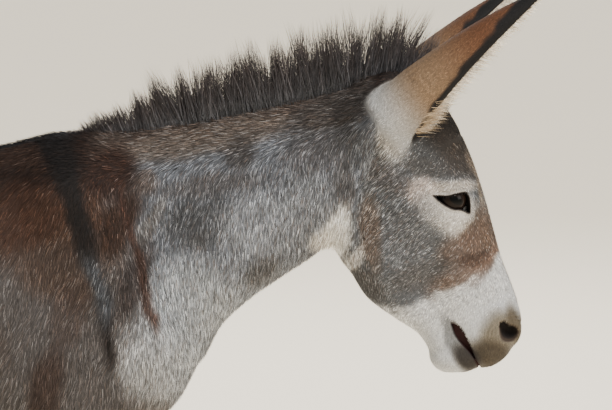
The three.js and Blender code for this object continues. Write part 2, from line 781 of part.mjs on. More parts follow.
function makeLeg(setback, step, lengthways, side) {
  const [near, far, size] = LEG_GRID.across;
  const sides = side > 0 ? steps(near, far, size) : steps(-far, -near, size);
  const whole = fleshIn(UPRIGHT, steps(...lengthways), steps(...LEG_GRID.up), sides);
  const shift = stepAt(step, side, CORONET.z);
  return cutBeyond(below(whole, LEG_CUT_HEIGHT), CORONET.x - setback + shift, CORONET.z, CORONET.lean - 90);
}

const COLOURS = {
  coat: [0x6f675f, 0.92],
  face: [0x7d7168, 0.92],
  legs: [0xa39a8e, 0.92],
  ear: [0x8a7563, 0.9],
  hair: [0x241f1c, 0.85],
  horn: [0x3b352f, 0.55],
  eye: [0x120d0a, 0.12],
};

const donkey = new THREE.Group();

function add(name, solid, [colour, roughness]) {
  const material = new THREE.MeshStandardMaterial({ color: colour, roughness, metalness: 0 });
  const mesh = new THREE.Mesh(toGeometry(solid), material);
  mesh.name = name;
  donkey.add(mesh);
}

add('trunk', makeTrunk(), COLOURS.coat);
add('neck', makeNeck(), COLOURS.coat);
add('head', makeHead(), COLOURS.face);
add('mane', mane(0), COLOURS.hair);

const dockEnd = TAIL_PATH.getPointAt(DOCK_SHARE).z;
add('tail_dock', above(tailLength(DOCK, 0), dockEnd), COLOURS.coat);
add('tail_switch', below(tailLength(SWITCH, 0), dockEnd), COLOURS.hair);

for (const [name, side] of [['left', 1], ['right', -1]]) {
  const seat = (solid) => (side > 0 ? solid : mirrored(solid));
  add(`ear_${name}`, seat(ear(0)), COLOURS.ear);
  add(`eye_${name}`, seat(eyeball(EYE_RADIUS)), COLOURS.eye);
  add(`foreleg_${name}`, makeLeg(0, FORE_STEP, LEG_GRID.fore, side), COLOURS.legs);
  add(`hindleg_${name}`, makeLeg(HIND_SETBACK, HIND_STEP, LEG_GRID.hind, side), COLOURS.legs);
  add(`fore_hoof_${name}`, hoof(0, FORE_STEP, side), COLOURS.horn);
  add(`hind_hoof_${name}`, hoof(HIND_SETBACK, HIND_STEP, side), COLOURS.horn);
}

// The origin is on the ground, under the middle of the animal's length.
const reach = new THREE.Box3().setFromObject(donkey);
donkey.position.x = -(reach.min.x + reach.max.x) / 2;

export default donkey;
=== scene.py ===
from math import cos, radians, sin

import bpy
import numpy as np
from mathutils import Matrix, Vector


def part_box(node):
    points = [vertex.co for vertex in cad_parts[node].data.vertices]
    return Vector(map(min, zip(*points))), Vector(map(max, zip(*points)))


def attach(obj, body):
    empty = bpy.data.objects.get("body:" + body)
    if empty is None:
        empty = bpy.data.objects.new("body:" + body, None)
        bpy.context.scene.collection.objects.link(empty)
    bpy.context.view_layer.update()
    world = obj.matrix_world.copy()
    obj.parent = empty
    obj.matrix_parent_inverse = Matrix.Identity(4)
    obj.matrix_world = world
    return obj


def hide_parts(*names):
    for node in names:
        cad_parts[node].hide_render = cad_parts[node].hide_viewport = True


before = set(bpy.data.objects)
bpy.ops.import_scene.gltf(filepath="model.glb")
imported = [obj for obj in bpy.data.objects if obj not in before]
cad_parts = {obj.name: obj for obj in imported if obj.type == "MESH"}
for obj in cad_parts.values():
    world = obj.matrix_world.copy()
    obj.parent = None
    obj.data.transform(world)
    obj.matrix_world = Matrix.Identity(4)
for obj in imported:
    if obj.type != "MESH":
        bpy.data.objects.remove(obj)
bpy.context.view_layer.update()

# ---------------------------------------------------------------- the studio
# A plain pale floor, a broad soft light overhead and two weaker ones, and a camera that looks a
# little down on the animal's right side, close on the head and neck.

bpy.ops.object.select_all(action="DESELECT")
TOE_AHEAD_OF_WITHERS = 0.200  # metres, to the left forefoot's toe
withers_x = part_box("fore_hoof_left")[1].x - TOE_AHEAD_OF_WITHERS

AIM = (withers_x + 0.426, 0.0, 1.011)
CAMERA_DISTANCE, LOOKING_DOWN, LENS = 3.3, radians(10), 121.3
bpy.ops.object.camera_add(
    location=(AIM[0], -CAMERA_DISTANCE * cos(LOOKING_DOWN), AIM[2] + CAMERA_DISTANCE * sin(LOOKING_DOWN)),
    rotation=(radians(90) - LOOKING_DOWN, 0, 0))
camera = bpy.context.object
camera.data.lens = LENS
bpy.context.scene.camera = camera


def new_material(name, roughness):
    """A material with its roughness set, and its shader."""
    material = bpy.data.materials.new(name)
    material.use_nodes = True
    shader = material.node_tree.nodes["Principled BSDF"]
    shader.inputs["Roughness"].default_value = roughness
    return material, shader


def feed(owner, node, inputs):
    """Gives the inputs of a node in a material or a group their values, or links them."""
    for name, value in inputs.items():
        if isinstance(value, bpy.types.NodeSocket):
            getattr(owner, "node_tree", owner).links.new(value, node.inputs[name])
        else:
            node.inputs[name].default_value = value


def add_node(owner, kind, inputs, **settings):
    node = getattr(owner, "node_tree", owner).nodes.new(kind)
    for setting, value in settings.items():
        setattr(node, setting, value)
    feed(owner, node, inputs)
    return node


def tones(material, source, stops):
    """A colour that follows a value through stops, each a place from 0 to 1 and a colour."""
    node = add_node(material, "ShaderNodeValToRGB", {"Fac": source})
    elements = node.color_ramp.elements
    while len(elements) < len(stops):
        elements.new(0.5)
    for element, (place, colour) in zip(elements, stops):
        element.position = place
        element.color = (*colour, 1)
    return node.outputs["Color"]


FLOOR_SIZE = 80
bpy.ops.mesh.primitive_plane_add(size=FLOOR_SIZE)
floor = bpy.context.object
floor.name = "floor"
floor_paint, floor_shader = new_material("floor paint", 0.9)
floor_place = add_node(floor_paint, "ShaderNodeTexCoord", {}).outputs["Object"]
floor_cloud = add_node(floor_paint, "ShaderNodeTexNoise", {"Vector": floor_place, "Scale": 1.5})
floor_tones = tones(
    floor_paint, floor_cloud.outputs["Fac"], [(0, (0.91, 0.82, 0.68)), (1, (0.95, 0.86, 0.72))])
feed(floor_paint, floor_shader, {
    "Base Color": floor_tones,
    "Emission Color": (1.0, 0.84, 0.58, 1), "Emission Strength": 0.75})
floor.data.materials.append(floor_paint)

bpy.ops.object.empty_add(location=(withers_x + 0.2, 0, 0.9))
light_aim = bpy.context.object
light_aim.name = "light aim"


def soft_light(name, place, size, watts, colour):
    """A square lamp of a given width, turned to the animal's shoulder."""
    bpy.ops.object.light_add(type="AREA", location=place)
    light = bpy.context.object
    light.name = name
    light.data.size = size
    light.data.energy = watts
    light.data.color = colour
    aim = light.constraints.new("TRACK_TO")
    aim.target = light_aim
    aim.track_axis = "TRACK_NEGATIVE_Z"
    aim.up_axis = "UP_Y"


soft_light("key light", (withers_x + 1.6, -2.6, 4.2), 1.8, 262, (1.0, 0.98, 0.95))
soft_light("face light", (withers_x + 3.4, -1.8, 2.2), 1.8, 60, (1.0, 0.95, 0.88))
soft_light("rim light", (withers_x + 0.5, 3.6, 3.2), 2.5, 110, (0.95, 0.97, 1.0))
sky = bpy.data.worlds.new("sky")
sky.use_nodes = True
feed(sky, sky.node_tree.nodes["Background"], {"Color": (0.90, 0.95, 1.0, 1), "Strength": 0.72})
bpy.context.scene.world = sky

# ---------------------------------------------------------------- the form of the flesh
# The living animal is one smooth body. Its form is a distance, in millimetres, to a surface that
# runs through cross-sections of trunk, neck, skull, jaw and legs, with the muscles blended in.
# Places are measured forward from the withers, sideways from the middle, and up from the ground.

# Each row: place, top, bottom, half width, roundness (2 is an ellipse), narrowing to the top.
TRUNK = [
    [-915, 950, 850, 20, 2.0, 0.0], [-895, 1000, 790, 62, 2.0, 0.05], [-850, 1048, 740, 108, 2.1, 0.1],
    [-780, 1088, 705, 138, 2.2, 0.12], [-690, 1115, 675, 158, 2.2, 0.12],
    [-600, 1118, 650, 172, 2.2, 0.12], [-500, 1102, 622, 180, 2.2, 0.1],
    [-380, 1088, 602, 192, 2.2, 0.08], [-260, 1084, 600, 194, 2.2, 0.1],
    [-150, 1090, 605, 184, 2.2, 0.16], [-50, 1101, 618, 160, 2.15, 0.27],
    [40, 1106, 632, 136, 2.1, 0.37], [120, 1095, 655, 116, 2.1, 0.4], [180, 1050, 690, 92, 2.1, 0.4],
    [225, 950, 735, 60, 2.0, 0.3], [248, 870, 780, 25, 2.0, 0.0],
]
NECK_START, NECK_ALONG = (120, 905), (0.903, 0.429)
NECK = [
    [-90, 245, -250, 104, 2.1, 0.35], [0, 238, -222, 108, 2.1, 0.42], [61, 219, -184, 101, 2.1, 0.46],
    [120, 201, -153, 92, 2.1, 0.48], [180, 183, -135, 84, 2.1, 0.48], [240, 164, -125, 77, 2.1, 0.46],
    [300, 149, -116, 72, 2.1, 0.44], [360, 135, -106, 67, 2.1, 0.4], [420, 122, -90, 60, 2.1, 0.35],
    [500, 108, -66, 50, 2.1, 0.3], [545, 80, -30, 30, 2.0, 0.2],
]
# Places run down the face from the poll, with "top" towards the front of the face.
HEAD_START, HEAD_ALONG = (560, 1205), (0.3, -0.954)
SKULL = [
    [-24, 22, -40, 30, 2.0, 0.0], [15, 50, -88, 56, 2.1, 0.1], [64, 74, -105, 72, 2.2, 0.15],
    [137, 88, -105, 80, 2.4, 0.12], [200, 91, -85, 80, 2.5, 0.15], [264, 90, -62, 62, 2.5, 0.22],
    [325, 89, -46, 49, 2.5, 0.25], [365, 92, -36, 43, 2.5, 0.22], [400, 93, -28, 41, 2.4, 0.15],
    [428, 90, -20, 41, 2.3, 0.08], [448, 80, -10, 39, 2.2, 0.05], [468, 56, -2, 34, 2.1, 0.0],
    [484, 30, 8, 16, 2.0, 0.0],
]
JAW = [
    [120, -20, -150, 48, 2.1, 0.0], [170, 0, -166, 60, 2.2, 0.1], [222, 10, -166, 64, 2.3, 0.15],
    [270, 5, -151, 61, 2.3, 0.18], [318, -5, -137, 52, 2.2, 0.15], [362, -5, -106, 42, 2.2, 0.1],
    [400, -8, -77, 34, 2.1, 0.05], [430, -7, -68, 33, 2.1, 0.0], [455, -2, -62, 32, 2.1, 0.0],
    [480, -3, -36, 21, 2.0, 0.0],
]
# Each row: height, front edge, rear edge, half width, distance from the middle of the body.
FORELEG = [
    [20, 133, 70, 27, 86], [76, 134, 72, 29, 86], [96, 119, 66, 26, 86], [118, 107, 53, 24, 86],
    [148, 102, 38, 28, 86.5], [176, 95, 45, 24, 87], [215, 92, 51, 20.5, 87.5], [285, 94, 50, 22, 88.5],
    [322, 102, 45, 29, 90], [362, 108, 38, 35, 91], [402, 105, 43, 32, 92], [450, 106, 38, 34, 94],
    [530, 118, 20, 43, 98], [610, 130, -2, 52, 104], [680, 138, -28, 58, 106], [770, 138, -36, 46, 104],
    [860, 110, -10, 20, 96],
]
HINDLEG = [
    [20, -766, -828, 27, 88], [76, -764, -826, 29, 88], [96, -778, -831, 26, 88],
    [120, -788, -845, 24, 88], [150, -795, -862, 28, 88], [178, -802, -855, 24, 88],
    [220, -806, -851, 20.5, 88], [290, -805, -855, 22, 88], [330, -798, -862, 26, 88.5],
    [370, -786, -871, 31, 90], [405, -775, -880, 32, 92], [432, -765, -886, 30, 93],
    [452, -754, -882, 28, 94], [480, -735, -863, 29, 96], [520, -706, -846, 35, 100],
    [570, -664, -832, 46, 106], [630, -612, -836, 60, 112], [700, -592, -856, 70, 114],
    [790, -600, -876, 66, 106], [890, -640, -885, 45, 90], [960, -680, -850, 15, 80],
]
DOCK = [
    [640, -922, -954, 14, 0], [700, -924, -960, 17, 0], [800, -926, -969, 20, 0],
    [900, -922, -972, 24, 0], [960, -900, -957, 27, 0], [1000, -866, -926, 26, 0],
    [1020, -850, -890, 16, 0],
]
# Each bulge: centre, radii, width of its blend into the rest.
TRUNK_BULGES = [
    [(70, 104, 760), (112, 50, 100), 55],  # upper arm
    [(178, 46, 775), (48, 50, 85), 40],  # breast
    [(-735, 88, 975), (150, 78, 116), 55],  # croup
    [(-622, 104, 1035), (74, 40, 46), 65],  # point of the hip
    [(-852, 70, 865), (54, 52, 190), 55],  # buttock
    [(-632, 126, 705), (60, 48, 85), 50],  # stifle
]
HEAD_BULGES = [
    [(190, 44, 56), (46, 30, 27), 28],  # rim of the eye socket
    [(222, -80, 46), (74, 62, 24), 24],  # cheek
    [(50, -32, 52), (54, 48, 40), 34],  # root of the ear
    [(426, 56, 30), (34, 30, 19), 16],  # wing of the nostril
    [(457, 26, 0), (27, 36, 40), 14],  # upper lip
    [(450, -40, 0), (28, 30, 32), 12],  # chin
    [(457, -16, 0), (25, 20, 30), 12],  # lower lip
]
SHOULDER_BLADE = ((40, 60, 1035), 48, (168, 98, 815), 50)  # one end and its radius, then the other
CHEEKBONE = ((222, 24, 62), 11, (306, 8, 44), 9)
FORE_STEP, HIND_STEP, STEP_HEIGHT = 22, -20, 690  # how far the feet stand out of line
FAR = 400.0


def joined(a, b, blend):
    """Two forms as one, with a smooth blend where they meet."""
    h = np.clip(0.5 + 0.5 * (b - a) / blend, 0, 1)
    return b + (a - b) * h - blend * h * (1 - h)


def cut_out(a, b, blend):
    """The first form with the second one taken out of it, and a rounded edge."""
    return -joined(-a, b, blend)


def ramp(value, low, high):
    """0 up to the low value, 1 from the high one, and a soft slope between."""
    t = np.clip((value - low) / (high - low), 0, 1)
    return t * t * (3 - 2 * t)


def curve(rows, place):
    """The rest of the rows' values at a place, along a smooth curve through the rows."""
    rows = np.asarray(rows, float)
    at, values = rows[:, 0], rows[:, 1:]
    slopes = np.gradient(values, at, axis=0)
    place = np.clip(place, at[0], at[-1])
    i = np.clip(np.searchsorted(at, place) - 1, 0, len(at) - 2)
    span = (at[i + 1] - at[i])[:, None]
    t = (place - at[i])[:, None] / span
    between = ((1 + 2 * t) * (1 - t) ** 2 * values[i] + t * (1 - t) ** 2 * span * slopes[i]
               + t * t * (3 - 2 * t) * values[i + 1] + t * t * (t - 1) * span * slopes[i + 1])
    return between.T


def section(u, w, top, bottom, half, power, narrowing):
    """The distance to one cross-section, up and sideways of its axis."""
    reach = (top - bottom) / 2
    t = (u - (top + bottom) / 2) / reach
    width = half * (1 - narrowing * np.clip(t, -1, 1))
    up, side = np.abs(t) + 1e-6, np.abs(w / width) + 1e-6
    g = (up ** power + side ** power) ** (1 / power)
    slope = np.hypot(up ** (power - 1) / reach, side ** (power - 1) / width) * g ** (1 - power)
    return np.maximum((g - 1) / np.maximum(slope, 1e-4), -1.2 * np.minimum(reach, width))


def loft(rows, s, u, w, end_blend=12):
    """A body through cross-sections along an axis, rounded off at both ends."""
    body = section(u, w, *curve(rows, s))
    return -joined(-body, -np.maximum(rows[0][0] - s, s - rows[-1][0]), end_blend)


def limb(rows, x, y, z):
    """A leg, or the dock of the tail, through level cross-sections."""
    front, rear, half, middle = curve(rows, z)
    body = section(x, y - middle, front, rear, half, 2.2, 0)
    return -joined(-body, -np.maximum(rows[0][0] - z, z - rows[-1][0]), 30)


def foreleg_form(x, side, z):
    return limb(FORELEG, x, side, z)


def hindleg_form(x, side, z):
    return limb(HINDLEG, x, side, z)


def dock_form(x, side, z):
    return limb(DOCK, x, side, z)


def egg(x, y, z, centre, radii):
    """An egg-shaped bulge or hollow."""
    a, b, c = ((value - middle) / radius for value, middle, radius in zip((x, y, z), centre, radii))
    k = np.sqrt(a * a + b * b + c * c) + 1e-9
    slope = np.sqrt((a / radii[0]) ** 2 + (b / radii[1]) ** 2 + (c / radii[2]) ** 2) + 1e-9
    return np.where(k < 1e-3, -min(radii), k * (k - 1) / slope)


def rod(x, y, z, start, start_radius, end, end_radius):
    """A straight rod with round ends that tapers from one end to the other."""
    step = np.subtract(end, start)
    q = (x - start[0], y - start[1], z - start[2])
    t = np.clip((q[0] * step[0] + q[1] * step[1] + q[2] * step[2]) / (step @ step), 0, 1)
    away = np.sqrt(sum((q[k] - t * step[k]) ** 2 for k in range(3)))
    return away - (start_radius + (end_radius - start_radius) * t)


def along_axis(start, along, x, z):
    """How far along an axis of the body a place lies, and how far above it."""
    dx, dz = x - start[0], z - start[1]
    return dx * along[0] + dz * along[1], dz * along[0] - dx * along[1]


def off_axis(start, along, s, u):
    """The place, forward and up, that lies so far along an axis of the body and above it."""
    return start[0] + s * along[0] - u * along[1], start[1] + s * along[1] + u * along[0]


def bulged(form, x, y, z, bulges):
    for centre, radii, blend in bulges:
        form = joined(form, egg(x, y, z, centre, radii), blend)
    return form


def trunk_form(x, side, z):
    form = loft(TRUNK, x, z, side, 20)
    form = joined(form, rod(x, side, z, *SHOULDER_BLADE), 70)
    return bulged(form, x, side, z, TRUNK_BULGES)


def neck_form(x, side, z):
    return loft(NECK, *along_axis(NECK_START, NECK_ALONG, x, z), side, 30)


EYE_CENTRE, EYE_RADIUS, LID_THICKNESS = (194, 38, 61.5), 24, 3.6


def head_form(x, side, z):
    s, u = along_axis(HEAD_START, HEAD_ALONG, x, z)
    form = joined(loft(SKULL, s, u, side), loft(JAW, s, u, side), 26)
    form = joined(form, rod(s, u, side, *CHEEKBONE), 34)
    form = bulged(form, s, u, side, HEAD_BULGES)
    lids = np.sqrt((s - EYE_CENTRE[0]) ** 2 + (u - EYE_CENTRE[1]) ** 2 + (side - EYE_CENTRE[2]) ** 2)
    return joined(form, lids - EYE_RADIUS - LID_THICKNESS, 9)


# An ear is a thin rolled leaf, open down its front. Each row: share of its length, radius, half the
# angle that the leaf spans, half its thickness.
EAR = [
    [-0.07, 20, 174, 5.0], [0.0, 33, 168, 5.0], [0.1, 40, 152, 4.8], [0.22, 40, 132, 4.2],
    [0.38, 36, 115, 3.8], [0.54, 31, 103, 3.4], [0.7, 25, 92, 3.2], [0.84, 17.5, 82, 3.0],
    [0.94, 10, 70, 2.8], [1.0, 4.5, 55, 2.5],
]
EAR_ROOT, EAR_TIP = np.array([538.0, 58, 1142]), np.array([794.0, 112, 1350])
EAR_LENGTH = np.linalg.norm(EAR_TIP - EAR_ROOT)
EAR_ALONG = (EAR_TIP - EAR_ROOT) / EAR_LENGTH
EAR_OPENS = np.array([0.62, -0.3, -0.72])
EAR_OPENS -= EAR_OPENS @ EAR_ALONG * EAR_ALONG
EAR_OPENS /= np.linalg.norm(EAR_OPENS)
EAR_ACROSS = np.cross(EAR_ALONG, EAR_OPENS)
EAR_FUR = 0.9  # the skin of the ear lies this far under its fur


def ear_middle(share, radius):
    """How far the middle of the roll lies towards the ear's opening."""
    return 0.35 * (radius - 36) - 8 * np.sin(np.pi * share)


def in_ear(x, side, z):
    """Places along the ear, towards its opening and across it."""
    q = np.stack([x, side, z], 1) - EAR_ROOT
    return q @ EAR_ALONG, q @ EAR_OPENS, q @ EAR_ACROSS


def on_ear(x, side, z):
    """1 on the ear above its root, 0 away from it, and the share of its length at each place."""
    share, on = np.full(len(x), -1.0), np.zeros(len(x))
    near = np.flatnonzero((x > 480) & (z > 1080))
    along, opens, across = in_ear(x[near], side[near], z[near])
    radius = curve(EAR, along / EAR_LENGTH)[0]
    away = np.hypot(ear_middle(along / EAR_LENGTH, radius) - opens, across)
    on[near] = ramp(along, 0, 26) * ramp(away, radius + 16, radius + 7)
    share[near] = np.where(away < radius + 16, along / EAR_LENGTH, -1)
    return on, share


def ear_form(x, side, z):
    a, o, across = in_ear(x, side, z)
    share = np.clip(a / EAR_LENGTH, EAR[0][0], 1)
    radius, half_angle, thickness = curve(EAR, share)
    half_angle = np.radians(half_angle)
    back, wide = ear_middle(share, radius) - o, np.abs(across)
    wall = np.abs(np.hypot(back, wide) - radius)
    edge = np.hypot(back - radius * np.cos(half_angle), wide - radius * np.sin(half_angle))
    form = np.where(np.arctan2(wide, back) <= half_angle, wall, edge) - thickness
    return np.maximum(form, np.maximum(a - EAR_LENGTH, EAR[0][0] * EAR_LENGTH - a))


def within(shape, x, y, z, where):
    """The shape's distance where it can matter, and a far distance elsewhere."""
    form = np.full(len(x), FAR)
    if where.any():
        form[where] = shape(x[where], y[where], z[where])
    return form


def flesh(x, y, z):
    """The whole body, with each part worked out only in the box where it can matter."""
    side = np.abs(y)
    lean = np.sign(y) * np.clip(1 - z / STEP_HEIGHT, 0, 1)
    form = within(trunk_form, x, side, z, x < 420)
    foreleg = within(foreleg_form, x - FORE_STEP * lean, side, z, (z < 950) & (x > -160) & (x < 320))
    hindleg = within(hindleg_form, x - HIND_STEP * lean, side, z, (z < 1050) & (x < -480))
    form = joined(joined(form, foreleg, 40), hindleg, 40)
    form = joined(form, within(neck_form, x, side, z, (x > -80) & (x < 760) & (z > 600)), 60)
    form = joined(form, within(head_form, x, side, z, (x > 430) & (z > 680)), 30)
    form = joined(form, within(ear_form, x, side, z, (x > 480) & (z > 1070)), 12)
    return joined(form, within(dock_form, x, side, z, (x < -800) & (z > 600)), 22)


# ---------------------------------------------------------------- lids, nostrils and lips
# The skin folds round the eye, nostril and mouth. Places are down the face, towards its front and
# out to the side. The lids' edges are curves across the eye, from its rear corner to its front one.

EYE_OUT = np.array([0.02, 0.26, 0.96])
EYE_OUT /= np.linalg.norm(EYE_OUT)
EYE_LENGTHWAYS = np.array([0.64, 0.765, 0.0])
EYE_LENGTHWAYS -= EYE_LENGTHWAYS @ EYE_OUT * EYE_OUT
EYE_LENGTHWAYS /= np.linalg.norm(EYE_LENGTHWAYS)
EYE_UP = np.cross(EYE_OUT, EYE_LENGTHWAYS)
EYE_UP *= -np.sign(EYE_UP[0])
UPPER_LID = [
    [-42, -12], [-32, -6.5], [-24, -3], [-16, 0.5], [-7, 7.5], [3, 13.5], [11, 16.5], [17, 13],
    [22, 7.5], [27, -1], [31, -9], [38, -18],
]
LOWER_LID = [
    [-42, -2], [-32, -6.5], [-24, -9.5], [-11, -13], [3, -13], [12, -10], [20, -9.5], [27, -10],
    [31, -9], [38, 0],
]
# Folds beside the lids: distance from the lid's edge, width, height.
UPPER_FOLDS, LOWER_FOLD = [(7.5, 2.2, 1.3), (13, 2.4, 0.7)], (6.5, 2.4, 0.8)
NOSTRIL, NOSTRIL_SIZE = (434, 64, 43), (12.5, 14.5, 21)
NOSTRIL_SLOT, SLOT_SIZE = (421, 58, 41), (10, 7, 14)
WRINKLE_SPACING, WRINKLE_HEIGHT = 5.2, 0.8
# Each row: place, then the height of the line between the lips, or half the gap between them.
MOUTH_LINE = [[388, -19], [400, -15], [420, -11], [450, -3], [470, 1], [492, 4]]
MOUTH_GAP = [[388, -1], [394, 2.5], [404, 5.6], [418, 6.4], [432, 5.0], [446, 2.6], [458, 1.0], [492, 0.8]]
MOUTH_CORNER, MOUTH_LENGTH, MOUTH_HALF_WIDTH, MOUTH_DEPTH = 382, 88, 25, 16


def eye_place(s, u, w):
    """Places across the eye: lengthways, up and out from its centre."""
    q = np.stack([s, u, w], 1) - np.array(EYE_CENTRE, float)
    return q @ EYE_LENGTHWAYS, q @ EYE_UP, q @ EYE_OUT


def carve_eye(form, s, u, w):
    a, b, out = eye_place(s, u, w)
    ball = np.sqrt(a * a + b * b + out * out)
    upper, lower = curve(UPPER_LID, a)[0], curve(LOWER_LID, a)[0]
    near = ramp(ball, 50, 34) * ramp(np.abs(a), 40, 26) * (out > 0)
    folds = sum(rise * np.exp(-((b - upper - away) / width) ** 2) for away, width, rise in UPPER_FOLDS)
    away, width, rise = LOWER_FOLD
    form = form + near * (folds + rise * np.exp(-((b - lower + away) / width) ** 2))
    slit = np.maximum(np.maximum(b - upper, lower - b) * 0.85, -out)
    form = cut_out(form, slit, 1.6)
    return np.maximum(form, EYE_RADIUS + 0.2 - ball)


def nostril_pit(s, u, w):
    return joined(egg(s, u, w, NOSTRIL, NOSTRIL_SIZE), egg(s, u, w, NOSTRIL_SLOT, SLOT_SIZE), 8)


def from_lips(s, u, w):
    """How far a place is from the cleft of the mouth: up or down from it, and in from its outline."""
    gap = np.abs(u - curve(MOUTH_LINE, s)[0]) - curve(MOUTH_GAP, s)[0]
    return gap, MOUTH_HALF_WIDTH * (1 - np.hypot((s - MOUTH_CORNER) / MOUTH_LENGTH, w / MOUTH_HALF_WIDTH))


def carve_muzzle(form, s, u, w):
    ring = np.sqrt((s - NOSTRIL[0]) ** 2 + ((u - NOSTRIL[1]) / 1.25) ** 2)
    wrinkled = ramp(ring, 15, 20) * ramp(ring, 38, 27) * ramp(s, NOSTRIL[0] + 2, NOSTRIL[0] - 12) * (w > 12)
    form = form - WRINKLE_HEIGHT * np.sin(ring * 2 * np.pi / WRINKLE_SPACING) * wrinkled
    form = cut_out(form, nostril_pit(s, u, w), 4)
    gap, past_outline = from_lips(s, u, w)
    return cut_out(form, np.maximum(gap, np.maximum(past_outline, -form - MOUTH_DEPTH)), 3.5)


THROAT, THROAT_LINE_TOP, THROAT_LINE_LEAN = (480, 939), 1110, 0.32


def head_share(x, z):
    """0 on the neck and 1 on the head, on each side of a line from behind the ear to the throat."""
    line_x = THROAT_LINE_LEAN * (np.minimum(z, THROAT_LINE_TOP) - THROAT[1])
    return ramp(x - THROAT[0] - line_x, -18, 22)


def by_region(x, y, z, trunk, neck, leg, foot, cheek, face, muzzle, ear, tail):
    """A size that changes gently from one part of the body to the next."""
    s, u = along_axis(HEAD_START, HEAD_ALONG, x, z)
    t = along_axis(NECK_START, NECK_ALONG, x, z)[0]
    size = trunk + (neck - trunk) * ramp(t, -120, 40)
    size += (leg - size) * ramp(z, 620, 440)
    size += (foot - size) * ramp(z, 200, 90)
    head = cheek + (face - cheek) * np.maximum(ramp(s, 180, 320), ramp(u, -60, 10))
    head += (muzzle - head) * ramp(s, 350, 410)
    size += (head - size) * head_share(x, z)
    size += (ear - size) * on_ear(x, np.abs(y), z)[0]
    return size + (tail - size) * ramp(x, -880, -925)


def coat_depth(x, y, z):
    return by_region(
        x, y, z, trunk=6, neck=6, leg=3, foot=1.5, cheek=3.5, face=1.6, muzzle=1.4, ear=EAR_FUR, tail=3)


def skin_form(x, y, z):
    """The flesh without its coat, with the eyes, nostrils and mouth opened in it."""
    form = flesh(x, y, z) + coat_depth(x, y, z)
    s, u = along_axis(HEAD_START, HEAD_ALONG, x, z)
    w = np.abs(y)
    eye = (np.abs(s - EYE_CENTRE[0]) < 60) & (np.abs(u - EYE_CENTRE[1]) < 60) & (w > 20) & (x > 500)
    muzzle = (s > 380) & (x > 500) & (z > 600)
    form[eye] = carve_eye(form[eye], s[eye], u[eye], w[eye])
    form[muzzle] = carve_muzzle(form[muzzle], s[muzzle], u[muzzle], w[muzzle])
    return form


# ---------------------------------------------------------------- the skin
# One skin over the whole animal, from the lips to the tail and down into the hooves. It lies under
# the coat, and its mesh is finest at the eyes, lips and nostrils.

def grid_values(form, xs, ys, zs, coarse=3):
    """The form on a grid: exact near the surface, and a coarse value elsewhere."""
    points = np.meshgrid(xs, ys, zs, indexing="ij")
    some = tuple(slice(None, None, coarse) for _ in range(3))
    rough = form(*(p[some].ravel() for p in points)).reshape(points[0][some].shape)
    nearest = [np.minimum(np.arange(n) // coarse, m - 1) for n, m in zip(points[0].shape, rough.shape)]
    values = rough[np.ix_(*nearest)].copy()
    reach = coarse * 1.8 * max(np.diff(xs).max(), np.diff(ys).max(), np.diff(zs).max())
    near = np.abs(values) < reach
    values[near] = form(*(p[near] for p in points))
    return values


def surface(form, xs, ys, zs):
    """One vertex in each cell that the surface crosses, and one square over each crossed grid line."""
    values = grid_values(form, xs, ys, zs)
    shape = [n - 1 for n in values.shape]
    total, crossings = np.zeros(shape + [3]), np.zeros(shape)
    lines = [xs, ys, zs]
    for axis in range(3):
        others = [k for k in range(3) if k != axis]
        for offsets in ((0, 0), (0, 1), (1, 0), (1, 1)):
            start = [0, 0, 0]
            start[others[0]], start[others[1]] = offsets
            end = list(start)
            end[axis] = 1
            corner = [tuple(slice(o, o + n) for o, n in zip(c, shape)) for c in (start, end)]
            a, b = values[corner[0]], values[corner[1]]
            crossed = np.nonzero((a < 0) != (b < 0))
            a, b = a[crossed], b[crossed]
            t = a / (a - b)
            place = np.stack([lines[k][crossed[k] + start[k]] for k in range(3)], 1)
            place[:, axis] += t * (lines[axis][crossed[axis] + 1] - lines[axis][crossed[axis]])
            total[crossed] += place
            crossings[crossed] += 1
    used = crossings > 0
    number = np.full(shape, -1)
    number[used] = np.arange(used.sum())
    vertices = total[used] / crossings[used][:, None]
    squares = []
    inside = values < 0
    for axis in range(3):
        others = [k for k in range(3) if k != axis]
        low = [slice(1, -1)] * 3
        high = [slice(1, -1)] * 3
        low[axis], high[axis] = slice(0, -1), slice(1, None)
        cells = np.argwhere(inside[tuple(low)] != inside[tuple(high)])
        starts_inside = inside[tuple(low)][tuple(cells.T)]
        cells[:, others] += 1
        around = []
        for d0, d1 in ((1, 1), (0, 1), (0, 0), (1, 0)):
            cell = cells.copy()
            cell[:, others[0]] -= d0
            cell[:, others[1]] -= d1
            around.append(number[tuple(cell.T)])
        square = np.stack(around, 1)
        forward = starts_inside if axis != 1 else ~starts_inside
        squares.append(np.where(forward[:, None], square, square[:, ::-1]))
    return settled(form, vertices), np.concatenate(squares)


def slope_of(form, p, probe=0.7):
    """The direction in which a form rises, from its values on each side of a place."""
    return np.stack([(form(*(p + d).T) - form(*(p - d).T)) / (2 * probe) for d in probe * np.eye(3)], 1)


def settled(form, p, longest=4.0):
    """Moves points onto the surface, along the slope of the form."""
    for _ in range(2):
        slope = slope_of(form, p)
        move = -(form(*p.T) / np.maximum((slope ** 2).sum(1), 0.05))[:, None] * slope
        length = np.linalg.norm(move, axis=1, keepdims=True)
        p = p + move * np.minimum(1, longest / np.maximum(length, 1e-9))
    return p


def steps(start, end, size):
    return np.linspace(start, end, int(round((end - start) / size)) + 1)


def kept(patch, keep):
    """The part of a patch whose squares pass a test of their middles."""
    vertices, squares = patch
    squares = squares[keep(*vertices[squares].mean(1).T)]
    used, squares = np.unique(squares, return_inverse=True)
    return vertices[used], squares.reshape(-1, 4)


def mirrored(patch):
    """The same patch on the other side of the body."""
    return patch[0] * (1, -1, 1), patch[1][:, ::-1]


def along_neck(x, z):
    return along_axis(NECK_START, NECK_ALONG, x, z)[0]


def down_face(x, z):
    return along_axis(HEAD_START, HEAD_ALONG, x, z)[0]


